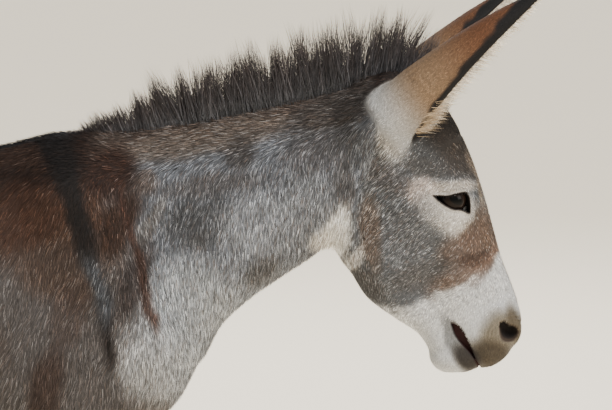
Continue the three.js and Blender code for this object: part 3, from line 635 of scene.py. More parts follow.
def from_eye(x, y, z):
    s, u = along_axis(HEAD_START, HEAD_ALONG, x, z)
    return np.sqrt((s - EYE_CENTRE[0]) ** 2 + (u - EYE_CENTRE[1]) ** 2 + (np.abs(y) - EYE_CENTRE[2]) ** 2)


def up_ear(x, y, z):
    return on_ear(x, np.abs(y), z)[1]


# Where one patch of skin gives way to the next. Neighbours overlap a little under the coat.
HEAD_FROM, LEGS_BELOW, MUZZLE_FROM, EYE_AREA, EAR_LEAF_FROM = 330, 430, 388, 47, 0.3
LEG_OVERLAP, FACE_OVERLAP, EAR_OVERLAP = 5, 3, 0.02


def skin_in(keep, size, *box):
    """The skin in a box, given by its lowest and highest places, in squares of one size."""
    return kept(surface(skin_form, *(steps(low, high, size) for low, high in box)), keep)


def on_body(x, y, z):
    return (z > LEGS_BELOW) & (along_neck(x, z) < HEAD_FROM)


def on_leg(x, y, z):
    return z < LEGS_BELOW + LEG_OVERLAP


def on_head(x, y, z):
    plain = (along_neck(x, z) > HEAD_FROM - 5) & (down_face(x, z) < MUZZLE_FROM + FACE_OVERLAP)
    plain &= from_eye(x, y, z) > EYE_AREA - FACE_OVERLAP
    return plain & (up_ear(x, y, z) < EAR_LEAF_FROM + EAR_OVERLAP)


def on_muzzle(x, y, z):
    return down_face(x, z) > MUZZLE_FROM


def round_eye(x, y, z):
    return from_eye(x, y, z) < EYE_AREA


body_patch = skin_in(on_body, 9, (-990, 540), (-216, 216), (395, 1250))
leg_patches = [
    skin_in(on_leg, 5, length, breadth, (10, 450))
    for length in ((-40, 240), (-930, -690)) for breadth in ((40, 146), (-146, -40))]
head_patch = skin_in(on_head, 4, (330, 810), (-136, 136), (712, 1300))
muzzle_patch = skin_in(on_muzzle, 2.2, (596, 800), (-64, 64), (716, 880))
eye_middle_x, eye_middle_z = off_axis(HEAD_START, HEAD_ALONG, *EYE_CENTRE[:2])
EYE_BOX = 54
eye_patch = skin_in(round_eye, 1.25, (eye_middle_x - EYE_BOX, eye_middle_x + EYE_BOX), (24, 106),
                    (eye_middle_z - EYE_BOX, eye_middle_z + EYE_BOX))


def ring_squares(rings, around):
    """The squares between closed rings of points that are numbered ring by ring."""
    i, j = np.meshgrid(np.arange(rings - 1), np.arange(around), indexing="ij")
    a, b = (i * around + j).ravel(), (i * around + (j + 1) % around).ravel()
    return np.stack([a, b, b + around, a + around], 1)


def ear_leaf(turns=22, rounding=5):
    """The ear above its root: rings that run out over the back of the ear and return inside it."""
    rings = []
    for share in np.concatenate([np.linspace(EAR_LEAF_FROM, 0.9, 40), np.linspace(0.91, 1.0, 10)]):
        radius, half_angle, thickness = (value[0] for value in curve(EAR, np.array([share])))
        thickness -= EAR_FUR
        angle = np.radians(half_angle) * np.linspace(-1, 1, turns)
        lip = np.linspace(0, np.pi, rounding + 2)[1:-1]
        outer = [(radius + thickness, a) for a in angle]
        far_lip = [(radius + thickness * np.cos(t), angle[-1] + thickness * np.sin(t) / radius) for t in lip]
        inner = [(radius - thickness, a) for a in angle[::-1]]
        near_lip = [(radius - thickness * np.cos(t), angle[0] - thickness * np.sin(t) / radius) for t in lip]
        r, a = np.array(outer + far_lip + inner + near_lip).T
        middle = ear_middle(share, radius)
        rings.append(EAR_ROOT + EAR_ALONG * share * EAR_LENGTH + np.outer(middle - r * np.cos(a), EAR_OPENS)
                     + np.outer(r * np.sin(a), EAR_ACROSS))
    around = len(rings[0])
    tip = rings[-1].mean(0) + EAR_ALONG * 2
    rings.append(rings[-1] * 0.4 + tip * 0.6)
    vertices = np.concatenate(rings)
    squares = ring_squares(len(rings), around)[:, [0, 3, 2, 1]]
    last = (len(rings) - 1) * around + np.arange(around)
    caps = [[last[k], last[around - 1 - k - rounding], last[around - 2 - k - rounding], last[k + 1]]
            for k in range(turns - 1)]
    return vertices, np.concatenate([squares, caps])


ear_patch = ear_leaf()
patches = [body_patch, *leg_patches, head_patch, muzzle_patch, eye_patch, mirrored(eye_patch),
           ear_patch, mirrored(ear_patch)]
offsets = np.cumsum([0] + [len(patch[0]) for patch in patches])
skin_points = np.concatenate([patch[0] for patch in patches])
skin_squares = np.concatenate([patch[1] + offset for patch, offset in zip(patches, offsets)])


def metres(points):
    return points / 1000 + (withers_x, 0, 0)


def mesh_piece(name, points, faces):
    """A mesh of faces that all have the same number of corners, from points in millimetres."""
    mesh = bpy.data.meshes.new(name)
    corners = faces.shape[1]
    mesh.vertices.add(len(points))
    mesh.vertices.foreach_set("co", metres(points).astype(np.float32).ravel())
    mesh.loops.add(faces.size)
    mesh.loops.foreach_set("vertex_index", faces.astype(np.int32).ravel())
    mesh.polygons.add(len(faces))
    mesh.polygons.foreach_set("loop_start", np.arange(0, faces.size, corners, dtype=np.int32))
    mesh.polygons.foreach_set("use_smooth", np.ones(len(faces), bool))
    mesh.update(calc_edges=True)
    mesh.validate()
    piece = bpy.data.objects.new(name, mesh)
    bpy.context.scene.collection.objects.link(piece)
    return piece


# ---------------------------------------------------------------- the markings
# A roan of grey, brown and white hairs: dark brown over the back, pale at the muzzle, eyes and
# belly, with a dark stripe down the spine and another over each shoulder. Colours are 0 to 255.

BACK, FLANK, BELLY = (40, 28, 22), (86, 81, 79), (186, 178, 166)
NECK_GREY, CREST, CHEST = (104, 107, 113), (78, 67, 60), (168, 173, 179)
LEG, INNER_LEG = (140, 132, 122), (196, 188, 176)
CHEEK_GREY, MUZZLE_WHITE = (100, 102, 105), (220, 220, 219)
EAR_ROOT_WHITE, EAR_TAN, EAR_DARK, EAR_EDGE, EAR_LINING = (
    (188, 186, 181), (134, 108, 82), (100, 65, 42), (20, 17, 16), (206, 196, 182))
BARE_SKIN, WET_MOUTH, NOSTRIL_LINING = (34, 29, 27), (44, 22, 21), (62, 52, 44)
UPPER_SIDE, SIDE_PATCH, LEG_BAR, PASTERN = (68, 48, 38), (74, 56, 46), (88, 78, 70), (96, 86, 78)
SPINE, STRIPE, STRIPE_WORN, STRIPE_RIM = (28, 22, 20), (27, 22, 20), (74, 77, 82), (38, 31, 28)
SHOULDER_BROWN, MUZZLE_TAN = (64, 44, 36), (140, 112, 96)

# Each mark: place, height, half length, half height, tilt in degrees, colour, strength.
NECK_MARKS = [
    (260, 1115, 150, 26, 12, (108, 97, 88), 0.75),
    (322, 1098, 22, 30, 0, (62, 57, 54), 0.7),
    (176, 1046, 20, 20, 0, (82, 66, 56), 0.6),
    (280, 1044, 80, 18, 6, (80, 75, 73), 0.6),
    (264, 985, 62, 42, 10, (72, 72, 73), 0.75),
    (446, 1126, 56, 50, 10, (70, 67, 66), 0.7),
    (352, 978, 70, 56, 20, (154, 157, 162), 0.65),
    (430, 1010, 44, 60, 0, (128, 130, 133), 0.6),
    (250, 860, 60, 70, 30, (164, 168, 171), 0.7),
    (190, 760, 60, 70, 30, (180, 183, 186), 0.8),
    (356, 905, 34, 20, 35, (78, 76, 75), 0.75),
    (256, 954, 14, 14, 0, (84, 82, 82), 0.5),
    (470, 1156, 56, 22, 20, (66, 58, 52), 0.7),
    (500, 1176, 60, 30, 22, (70, 66, 64), 0.7),
    (486, 1040, 16, 54, 0, (84, 80, 78), 0.55),
    (436, 1090, 50, 34, 10, (92, 90, 92), 0.5),
    (120, 1062, 40, 42, -20, (46, 29, 21), 0.9),
    (136, 985, 26, 60, -22, (50, 34, 25), 0.85),
    (178, 975, 12, 60, -28, (108, 102, 96), 0.6),
    (160, 895, 24, 70, -18, (60, 53, 51), 0.9),
    (-10, 1000, 60, 50, 0, (72, 51, 41), 0.8),
    (24, 720, 26, 70, -12, (60, 46, 40), 0.75),
    (60, 840, 30, 60, -14, (80, 66, 60), 0.5),
]
HEAD_MARKS = [
    (540, 1190, 50, 30, 30, (48, 38, 33), 0.95),
    (560, 1216, 44, 22, 10, (44, 35, 31), 0.95),
    (566, 1130, 30, 50, 5, (198, 195, 189), 0.95),
    (555, 1102, 22, 24, 10, (168, 162, 154), 0.7),
    (600, 1142, 30, 18, 30, (178, 170, 158), 0.8),
    (618, 1104, 30, 32, 0, (72, 72, 72), 0.9),
    (616, 1070, 40, 18, -14, (78, 76, 74), 0.9),
    (660, 1128, 46, 46, 15, (45, 38, 32), 0.95),
    (678, 1088, 40, 34, 20, (60, 53, 47), 0.85),
    (560, 1052, 44, 20, -30, (82, 76, 74), 0.5),
    (651, 1012, 48, 30, -24, (208, 201, 192), 1.0),
    (655, 1040, 42, 11, 10, (192, 182, 169), 0.9),
    (606, 1032, 26, 23, -10, (198, 182, 171), 0.85),
    (626, 1006, 27, 23, -30, (220, 213, 204), 0.9),
    (656, 984, 30, 24, -20, (226, 220, 212), 0.95),
    (698, 1050, 7, 50, 18, (150, 130, 108), 0.6),
    (694, 960, 28, 26, 20, (98, 78, 66), 0.8),
    (680, 936, 46, 34, 0, (110, 90, 78), 0.75),
    (722, 962, 20, 52, 22, (104, 84, 70), 0.8),
    (704, 926, 38, 14, 12, (74, 58, 49), 0.9),
    (592, 972, 42, 54, -10, (102, 102, 104), 0.6),
    (528, 964, 18, 62, 4, (102, 86, 74), 0.7),
    (520, 886, 40, 18, -35, (72, 69, 68), 0.75),
    (612, 896, 56, 26, 10, (86, 82, 80), 0.6),
]
LAST_MARKS = [
    (476, 966, 22, 48, -8, (255, 250, 240), 1.0),
    (498, 918, 12, 34, -30, (226, 218, 208), 0.8),
    (450, 952, 22, 16, 10, (224, 216, 204), 0.8),
    (738, 806, 32, 34, 0, (126, 114, 94), 0.85),
    (762, 812, 14, 40, 15, (92, 80, 62), 0.85),
    (724, 765, 42, 30, -25, (77, 67, 53), 0.95),
    (658, 800, 12, 34, 25, (118, 118, 117), 0.8),
    (684, 760, 18, 27, 30, (60, 55, 50), 1.0),
]
# Each row along a stripe: height, place of its middle, half its width.
SHOULDER_STRIPE = [
    (740, 126, 2), (811, 120, 8), (873, 110, 13), (918, 95, 14), (980, 77, 15), (1041, 58, 16),
    (1093, 37, 22), (1125, 20, 30),
]
BROWN_EDGE = [(800, 190, 3), (834, 187, 7), (905, 172, 8), (960, 156, 7), (1042, 131, 5), (1080, 112, 2)]
# Where the white of the muzzle ends: place, height.
WHITE_EDGE = [
    (480, 850), (568, 840), (624, 858), (648, 872), (680, 882), (704, 891), (720, 906), (736, 926),
    (760, 955),
]
# How far the dark rim of an ear reaches: share of the ear's length, width.
EAR_RIM = [(0.05, 3), (0.16, 8), (0.3, 10), (0.5, 11), (0.75, 13), (0.9, 20), (1, 60)]


def all_over(value, p):
    """The same colour or direction at every place."""
    return np.tile(np.array(value, float), (len(p), 1))


def mixed(colour, other, share):
    """One colour or direction turned into another by a share from 0 to 1."""
    return colour + (np.asarray(other, float) - colour) * np.asarray(share)[:, None]


def wander(p, size, turn=0.0):
    """A smooth, irregular rise and fall between about -1 and 1 over the body."""
    q = p / size
    total = np.sin(q[:, 0] * 1.3 + 2.1 * np.sin(q[:, 2] * 0.7 + turn) + turn)
    total = total + np.sin(q[:, 2] * 1.7 + 1.8 * np.sin(q[:, 0] * 0.9 - q[:, 1] * 0.8 + turn))
    return (total + np.sin(q[:, 1] * 1.9 + q[:, 0] * 0.6 - q[:, 2] * 1.1 + 2 * turn)) / 3


def marked(colour, x, height, marks):
    """The colours with soft oval marks laid over them, one after another."""
    for middle, middle_height, half_length, half_height, tilt, mark, strength in marks:
        dx, dz = x - middle, height - middle_height
        along = (dx * cos(radians(tilt)) + dz * sin(radians(tilt))) / half_length
        up = (dz * cos(radians(tilt)) - dx * sin(radians(tilt))) / half_height
        colour = mixed(colour, mark, strength * ramp(np.hypot(along, up), 1.35, 0.55))
    return colour


def on_stripe(x, height, rows, softness):
    """1 on a stripe that runs down the shoulder, and 0 beside it."""
    heights, middles, halves = np.array(rows).T
    half = np.interp(height, heights, halves)
    inside = ramp(np.abs(x - np.interp(height, heights, middles)), half + softness, half - softness)
    inside *= ramp(height, heights[0] - 20, heights[0] + 30)
    return inside * ramp(height, heights[-1] + 20, heights[-1] - 10)


def ear_colour(p):
    share, opens, across = in_ear(p[:, 0], np.abs(p[:, 1]), p[:, 2])
    share = np.clip(share / EAR_LENGTH, EAR[0][0], 1)
    radius, half_angle = curve(EAR, share)[:2]
    back, wide = ear_middle(share, radius) - opens, np.abs(across)
    inside = np.hypot(back, wide) < radius
    from_edge = radius * (np.radians(half_angle) - np.arctan2(wide, back))
    ragged = 4 * wander(p, 9)
    colour = mixed(all_over(EAR_ROOT_WHITE, p), EAR_TAN, ramp(share, 0.07, 0.32))
    colour = mixed(colour, EAR_DARK, ramp(share, 0.34, 0.7))
    rim = np.interp(share, *np.transpose(EAR_RIM))
    outer = mixed(colour, EAR_EDGE, ramp(from_edge + ragged, rim + 4, rim - 4) * ramp(share, 0.02, 0.1))
    lining = mixed(all_over(EAR_LINING, p), EAR_TAN, 0.5 * ramp(from_edge, 10, 40))
    lining = mixed(lining, EAR_DARK, ramp(share, 0.8, 0.97))
    return np.where(inside[:, None], lining, outer)


def body_colour(p, height, rough):
    """Trunk, tail and legs."""
    x, side, z = p[:, 0], np.abs(p[:, 1]), p[:, 2]
    body = mixed(all_over(FLANK, p), UPPER_SIDE, ramp(height + 30 * rough, 870, 980))
    body = mixed(body, BACK, ramp(height + 20 * rough, 980, 1070))
    body = mixed(body, SIDE_PATCH, 0.5 * ramp(wander(p, 40, 4.0), 0.1, 0.6) * ramp(height, 720, 860))
    body = mixed(body, BELLY, ramp(z + 14 * rough, 712, 640) * ramp(side, 170, 120))
    leg = np.where((side < 88)[:, None], INNER_LEG, LEG)
    bars = np.maximum(np.sin(z / 13 + 1.5 * wander(p, 30)), 0) ** 3 * ramp(z, 380, 440) * ramp(z, 620, 560)
    leg = mixed(leg, LEG_BAR, 0.45 * bars * (side > 80))
    leg = mixed(leg, PASTERN, 0.5 * ramp(z, 130, 84))
    body = mixed(body, leg, ramp(z + 22 * rough, 700, 600))
    return mixed(body, SPINE, 0.9 * ramp(side, 22, 12) * ramp(z, 980, 1040) * ramp(x, 60, 20))


def neck_colour(p, height, rough):
    t, v = along_axis(NECK_START, NECK_ALONG, p[:, 0], p[:, 2])
    top = curve(NECK, t)[0]
    neck = mixed(all_over(NECK_GREY, p), CHEST, ramp(height, 960, 820) * 0.8)
    return mixed(neck, CREST, ramp(v + 4 * rough, top - 62, top - 26))


def shoulder_marked(colour, x, height):
    """The colours with the brown edge of the shoulder, and the dark stripe, which is worn grey midway."""
    colour = mixed(colour, SHOULDER_BROWN, 0.8 * on_stripe(x, height, BROWN_EDGE, 5))
    colour = mixed(colour, STRIPE_RIM, 0.6 * on_stripe(x, height, SHOULDER_STRIPE, 12))
    dark = mixed(all_over(STRIPE, colour), STRIPE_WORN, ramp(height, 960, 900) * ramp(height, 790, 850))
    return mixed(colour, dark, 0.9 * on_stripe(x, height, SHOULDER_STRIPE, 9))


def head_colour(p, x, height):
    head = marked(all_over(CHEEK_GREY, p), x, height, HEAD_MARKS)
    edge = np.interp(x, *np.transpose(WHITE_EDGE))
    head = mixed(head, MUZZLE_TAN, 0.6 * ramp(height, edge + 44, edge + 18) * ramp(x, 600, 650))
    return mixed(head, MUZZLE_WHITE, ramp(height + 8 * wander(p, 8), edge + 16, edge - 10))


def coat_colour(p):
    """The colour of the hair at each place, from trunk, neck, head and ears blended together."""
    x, side, z = p[:, 0], np.abs(p[:, 1]), p[:, 2]
    height = z - 0.17 * side + 5 * wander(p, 23)
    shifted = x + 5 * wander(p, 19, 2.0)
    rough = wander(p, 55, 1.0)
    on_neck = ramp(shifted + 0.32 * (height - 900), 130, 185) * ramp(z, 600, 700)
    colour = mixed(body_colour(p, height, rough), neck_colour(p, height, rough), on_neck)
    colour = marked(colour, shifted, height, NECK_MARKS)
    colour = shoulder_marked(colour, shifted, height)
    colour = mixed(colour, head_colour(p, shifted, height), ramp(head_share(x, z), 0.15, 0.6))
    colour = np.where((x > 400)[:, None], marked(colour, shifted, height, LAST_MARKS), colour)
    return mixed(colour, ear_colour(p), on_ear(x, side, z)[0])


def past_lids(p):
    """How far a place lies outside the opening between the lids."""
    s, u = along_axis(HEAD_START, HEAD_ALONG, p[:, 0], p[:, 2])
    a, b, out = eye_place(s, u, np.abs(p[:, 1]))
    lids = np.maximum(b - curve(UPPER_LID, a)[0], curve(LOWER_LID, a)[0] - b)
    return np.where((out > 0) & (np.sqrt(a * a + b * b + out * out) < 50) & (p[:, 0] > 500), lids, FAR)


def bareness(p):
    """1 where the dark skin has no coat, then the same for the mouth and for the nostrils alone."""
    x, side, z = p[:, 0], np.abs(p[:, 1]), p[:, 2]
    s, u = along_axis(HEAD_START, HEAD_ALONG, x, z)
    nostril = ramp(nostril_pit(s, u, side), 2.0, 0.4) * (x > 500)
    mouth = ramp(np.maximum(*from_lips(s, u, side)), 3, 1) * (s > 385) * (x > 500)
    eye = ramp(past_lids(p), 3.0, 1.8) * (x > 500)
    return np.maximum(np.maximum(eye, nostril), mouth), mouth, nostril


def coloured(piece, colours):
    """Gives a piece its colours, one for each vertex, as amounts of light."""
    light = np.column_stack([(np.clip(colours, 0, 255) / 255) ** 2.2, np.ones(len(colours))])
    attribute = piece.data.color_attributes.new("markings", "FLOAT_COLOR", "POINT")
    attribute.data.foreach_set("color", light.astype(np.float32).ravel())


def add_relief(material, shader, height, strength):
    """A slight bump on the surface, up to a millimetre high."""
    bump = add_node(material, "ShaderNodeBump", {"Height": height, "Strength": strength, "Distance": 0.001})
    feed(material, shader, {"Normal": bump.outputs["Normal"]})


# The grain that skin, coat and long hair share, each with its own fineness and strength.
HAIR_GRAIN_SOCKETS = [
    ("Markings", "INPUT", "NodeSocketColor"), ("Fineness", "INPUT", "NodeSocketFloat"),
    ("Darkest", "INPUT", "NodeSocketFloat"), ("Lightest", "INPUT", "NodeSocketFloat"),
    ("Colour", "OUTPUT", "NodeSocketColor"), ("Grain", "OUTPUT", "NodeSocketFloat"),
]
hair_grain = bpy.data.node_groups.new("hair grain", "ShaderNodeTree")
for socket_name, direction, socket_kind in HAIR_GRAIN_SOCKETS:
    hair_grain.interface.new_socket(socket_name, in_out=direction, socket_type=socket_kind)
given = add_node(hair_grain, "NodeGroupInput", {}).outputs
grain_place = add_node(hair_grain, "ShaderNodeTexCoord", {}).outputs["Object"]
upright_grain = add_node(hair_grain, "ShaderNodeMapping", {"Vector": grain_place, "Scale": (1.0, 1.0, 0.35)})
fine_noise = add_node(hair_grain, "ShaderNodeTexNoise", {
    "Vector": upright_grain.outputs["Vector"], "Scale": given["Fineness"], "Detail": 3}).outputs["Fac"]
grain_tone = add_node(hair_grain, "ShaderNodeMapRange", {
    "Value": fine_noise, "From Min": 0.3, "From Max": 0.7,
    "To Min": given["Darkest"], "To Max": given["Lightest"]}).outputs["Result"]
grained = add_node(
    hair_grain, "ShaderNodeVectorMath", {0: given["Markings"], "Scale": grain_tone}, operation="SCALE")
add_node(hair_grain, "NodeGroupOutput", {"Colour": grained.outputs["Vector"], "Grain": fine_noise})


def hair_material(name, roughness, speckle, fineness):
    """A material for hair or hairy skin: the markings with a fine grain. It returns the grain too."""
    material, shader = new_material(name, roughness)
    markings = add_node(material, "ShaderNodeAttribute", {}, attribute_name="markings").outputs["Color"]
    grain = add_node(material, "ShaderNodeGroup", {
        "Markings": markings, "Fineness": fineness, "Darkest": 1 - speckle, "Lightest": 1 + speckle,
    }, node_tree=hair_grain).outputs
    feed(material, shader, {"Base Color": grain["Colour"], "Specular IOR Level": 0.25})
    return material, shader, grain["Grain"]


SKIN_SHADE = 0.72  # the skin between the tufts is darker than their tips
skin = mesh_piece("skin", skin_points, skin_squares)
bare, in_mouth, in_nostril = bareness(skin_points)
skin_colours = mixed(coat_colour(skin_points) * SKIN_SHADE, BARE_SKIN, bare)
# Inside each nostril the brown lining shows only near the rim and turns to the near-black bare skin deeper
# in: painted shade in the pit.
skin_colours = mixed(skin_colours, NOSTRIL_LINING, in_nostril * ramp(np.abs(skin_points[:, 1]), 27, 37))
coloured(skin, mixed(skin_colours, WET_MOUTH, in_mouth * ramp(np.abs(skin_points[:, 1]), 30, 24)))
short_hair, short_hair_shader, short_hair_grain = hair_material("short hair on skin", 0.8, 0.25, 420)
add_relief(short_hair, short_hair_shader, short_hair_grain, 0.5)
skin.data.materials.append(short_hair)
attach(skin, "root")
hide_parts("trunk", "neck", "head", "tail_dock", "ear_left", "ear_right",
            "foreleg_left", "foreleg_right", "hindleg_left", "hindleg_right")

# ---------------------------------------------------------------- the eyes
# Large dark balls with a bulging clear front, a brown iris and a pupil that lies level, held
# behind the lids on each side of the face.

EYE_BULGE = 1.4  # how far the clear front stands out of the ball
PUPIL_LENGTH_TO_HEIGHT = 2.0
DOWN_FACE = np.array([HEAD_ALONG[0], 0, HEAD_ALONG[1]])
FACE_FRONT = np.array([-HEAD_ALONG[1], 0, HEAD_ALONG[0]])
SIDES = ((1, "left"), (-1, "right"))

eye_material, eye_shader = new_material("eye", 0.1)


def eye_sum(operation, output, *values):
    """One step in working out the place across the eye."""
    inputs = dict(enumerate(values))
    return add_node(eye_material, "ShaderNodeVectorMath", inputs, operation=operation).outputs[output]


eye_map = add_node(eye_material, "ShaderNodeUVMap", {}, uv_map="across the eye").outputs["UV"]
from_middle = eye_sum("SUBTRACT", "Vector", eye_map, (0.5, 0.5, 0))
iris = tones(eye_material, eye_sum("LENGTH", "Value", from_middle), [
    (0.16, (0.008, 0.005, 0.004)), (0.30, (0.010, 0.0055, 0.0035)), (0.40, (0.004, 0.003, 0.003))])
drawn_out = eye_sum("MULTIPLY", "Vector", from_middle, (1.0, PUPIL_LENGTH_TO_HEIGHT, 0))
past_pupil = add_node(eye_material, "ShaderNodeMapRange", {
    "Value": eye_sum("LENGTH", "Value", drawn_out), "From Min": 0.20, "From Max": 0.25}).outputs["Result"]
eye_colour = add_node(
    eye_material, "ShaderNodeMix", {"A": (0.002, 0.002, 0.002, 1), "B": iris, "Factor": past_pupil},
    data_type="RGBA")
feed(eye_material, eye_shader, {"Base Color": eye_colour.outputs["Result"], "Specular IOR Level": 0.09})


def world_direction(lengthways, up, out, side):
    """A direction given down the face, to its front and outward, as one in the room."""
    return lengthways * DOWN_FACE + up * FACE_FRONT + np.array([0, side * out, 0])


for side, side_name in SIDES:
    bpy.ops.mesh.primitive_uv_sphere_add(segments=64, ring_count=40, radius=1)
    eye = bpy.context.object
    eye.name = f"eye_{side_name}_ball"
    ball = np.empty(len(eye.data.vertices) * 3)
    eye.data.vertices.foreach_get("co", ball)
    ball = ball.reshape(-1, 3)
    local = ball * (EYE_RADIUS + EYE_BULGE * ramp(ball[:, 2], 0.6, 1.0))[:, None]
    upright, outward = (world_direction(*direction, side) for direction in (EYE_UP, EYE_OUT))
    centre = np.array([eye_middle_x, side * EYE_CENTRE[2], eye_middle_z])
    placed = centre + local @ np.array([np.cross(upright, outward), upright, outward])
    eye.data.vertices.foreach_set("co", metres(placed).astype(np.float32).ravel())
    corner_vertex = np.empty(len(eye.data.loops), int)
    eye.data.loops.foreach_get("vertex_index", corner_vertex)
    across_eye = eye.data.uv_layers.new(name="across the eye")
    across_eye.data.foreach_set("uv", (ball[corner_vertex, :2] * 0.5 + 0.5).astype(np.float32).ravel())
    eye.data.update()
    bpy.ops.object.shade_smooth()
    eye.data.materials.append(eye_material)
    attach(eye, "root")
    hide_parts(f"eye_{side_name}")

# ---------------------------------------------------------------- the hooves
# Small upright cups of dark horn with growth rings, flat beneath, each grown on the end of a leg.
# The wall rises from the ground to the coronet, the slanting edge where the hair begins.

HOOF_TOE, HOOF_HEEL, HOOF_HALF_WIDTH, HOOF_MIDDLE = 178, 80, 39, 86
CORONET_FRONT, CORONET_REAR, CORONET_HALF_WIDTH, CORONET_MIDDLE, CORONET_LEAN = 137, 70, 31, (103.5, 62), 30
HIND_SETBACK = 900
HORN_RINGS, HORN_AROUND = 26, 56
SOLE = [(0, 30), (0, 6), (0, 2), (0.02, 0.4)]  # each ring: share of the height, inset
CORONET_ROUNDING = 3.5
TOE_SQUARENESS, SIDE_SQUARENESS = 0.85, 0.8  # 1 is an ellipse, and less is squarer
GROWTH_RIDGE, GROWTH_RATE = 0.22, 40

horn, horn_shader = new_material("hoof horn", 0.5)
horn_place = add_node(horn, "ShaderNodeTexCoord", {}).outputs["Object"]
beside_coronet = add_node(
    horn, "ShaderNodeMapping", {"Vector": horn_place, "Rotation": (0, radians(17), 0)}).outputs["Vector"]
growth = add_node(
    horn, "ShaderNodeTexWave", {"Vector": beside_coronet, "Scale": 46, "Distortion": 2.2, "Detail": 4},
    bands_direction="Z").outputs["Fac"]
horn_tones = tones(horn, growth, [(0, (0.041, 0.034, 0.029)), (1, (0.057, 0.047, 0.039))])
feed(horn, horn_shader, {"Base Color": horn_tones})
add_relief(horn, horn_shader, growth, 0.15)


def hoof_rings(setback, step, side):
    """The rings of a hoof from the middle of its sole, up its wall and in over its top."""
    around = 2 * np.pi * np.arange(HORN_AROUND) / HORN_AROUND
    c, s = np.cos(around), np.sin(around)
    shares = np.arange(1, HORN_RINGS + 1) / HORN_RINGS
    rings = []
    for share, inset in SOLE + list(zip(shares, CORONET_ROUNDING * ramp(shares, 0.86, 1.02))):
        front = HOOF_TOE + (CORONET_FRONT - HOOF_TOE) * share - inset
        rear = HOOF_HEEL + (CORONET_REAR - HOOF_HEEL) * share + inset
        half = HOOF_HALF_WIDTH + (CORONET_HALF_WIDTH - HOOF_HALF_WIDTH) * share - inset
        ridge = GROWTH_RIDGE * sin(share * GROWTH_RATE)
        x = (front + rear) / 2 + ((front - rear) / 2 + ridge) * np.sign(c) * np.abs(c) ** TOE_SQUARENESS
        y = HOOF_MIDDLE + (half + ridge) * np.sign(s) * np.abs(s) ** SIDE_SQUARENESS
        z = share * (CORONET_MIDDLE[1] + (x - CORONET_MIDDLE[0]) * np.tan(radians(CORONET_LEAN)))
        lean = side * step * np.clip(1 - z / STEP_HEIGHT, 0, 1)
        rings.append(np.stack([x - setback + lean, side * y, z], 1))
    return rings + [rings[-1] * 0.5 + rings[-1].mean(0) * 0.5]


across = np.arange(HORN_AROUND // 2 - 1)
cap = np.stack([across, across + 1, HORN_AROUND - 2 - across, HORN_AROUND - 1 - across], 1)
for end_name, setback, step in (("fore", 0, FORE_STEP), ("hind", HIND_SETBACK, HIND_STEP)):
    for side, side_name in SIDES:
        rings = hoof_rings(setback, step, side)
        walls = ring_squares(len(rings), HORN_AROUND)
        faces = np.concatenate([walls, cap[:, ::-1], cap + (len(rings) - 1) * HORN_AROUND])
        hoof = mesh_piece(f"{end_name}_hoof_{side_name}_horn", np.concatenate(rings), faces[:, ::side])
        hoof.data.materials.append(horn)
        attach(hoof, "root")
        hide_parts(f"{end_name}_hoof_{side_name}")

# ---------------------------------------------------------------- the coat
# Short thick hair over the whole skin, in small pointed tufts that overlap and follow the lie of
# the coat. They are longest on the trunk and neck and finest on the face, feet and muzzle.

HAIR_ENDS_AT = 60  # the height down to which the legs have hair
ROOT_SHADE = 0.8  # a tuft is darker at its root than at its tip
PATCH = 0.0015  # half the width of one tuft's patch on the flat map
# A tuft has two corners on the skin, one sunk between them, and its tip.
TUFT_FACES = np.array([[0, 3, 1], [0, 2, 3], [2, 1, 3], [0, 1, 2]])
TUFT_PATCH = PATCH * np.array([[-1, -1], [1, -1], [0, -0.4], [0, 1]])


def unit(v):
    return v / (np.linalg.norm(v, axis=1, keepdims=True) + 1e-9)


def outward_of(patch):
    """The outward direction at each vertex of a patch, and the area of each of its squares."""
    vertices, squares = patch
    corners = vertices[squares]
    across = np.cross(corners[:, 2] - corners[:, 0], corners[:, 3] - corners[:, 1])
    total = np.stack([sum(np.bincount(squares[:, k], across[:, axis], len(vertices)) for k in range(4))
                      for axis in range(3)], 1)
    return unit(total), np.linalg.norm(across, axis=1) / 2


def scattered(patches, spacing, chance):
    """Root places spread evenly over the patches, and the outward direction at each."""
    places, outward = [], []
    for vertices, squares in patches:
        normals, areas = outward_of((vertices, squares))
        room = np.cumsum(areas / spacing(*vertices[squares].mean(1).T) ** 2)
        count = int(room[-1])
        chosen = squares[np.searchsorted(room, np.arange(count) + chance.random(count))]
        a, b = chance.random((2, count, 1))
        for values, found in ((vertices, places), (normals, outward)):
            found.append((1 - a) * (1 - b) * values[chosen[:, 0]] + a * (1 - b) * values[chosen[:, 1]]
                         + a * b * values[chosen[:, 2]] + (1 - a) * b * values[chosen[:, 3]])
    return np.concatenate(places), unit(np.concatenate(outward))


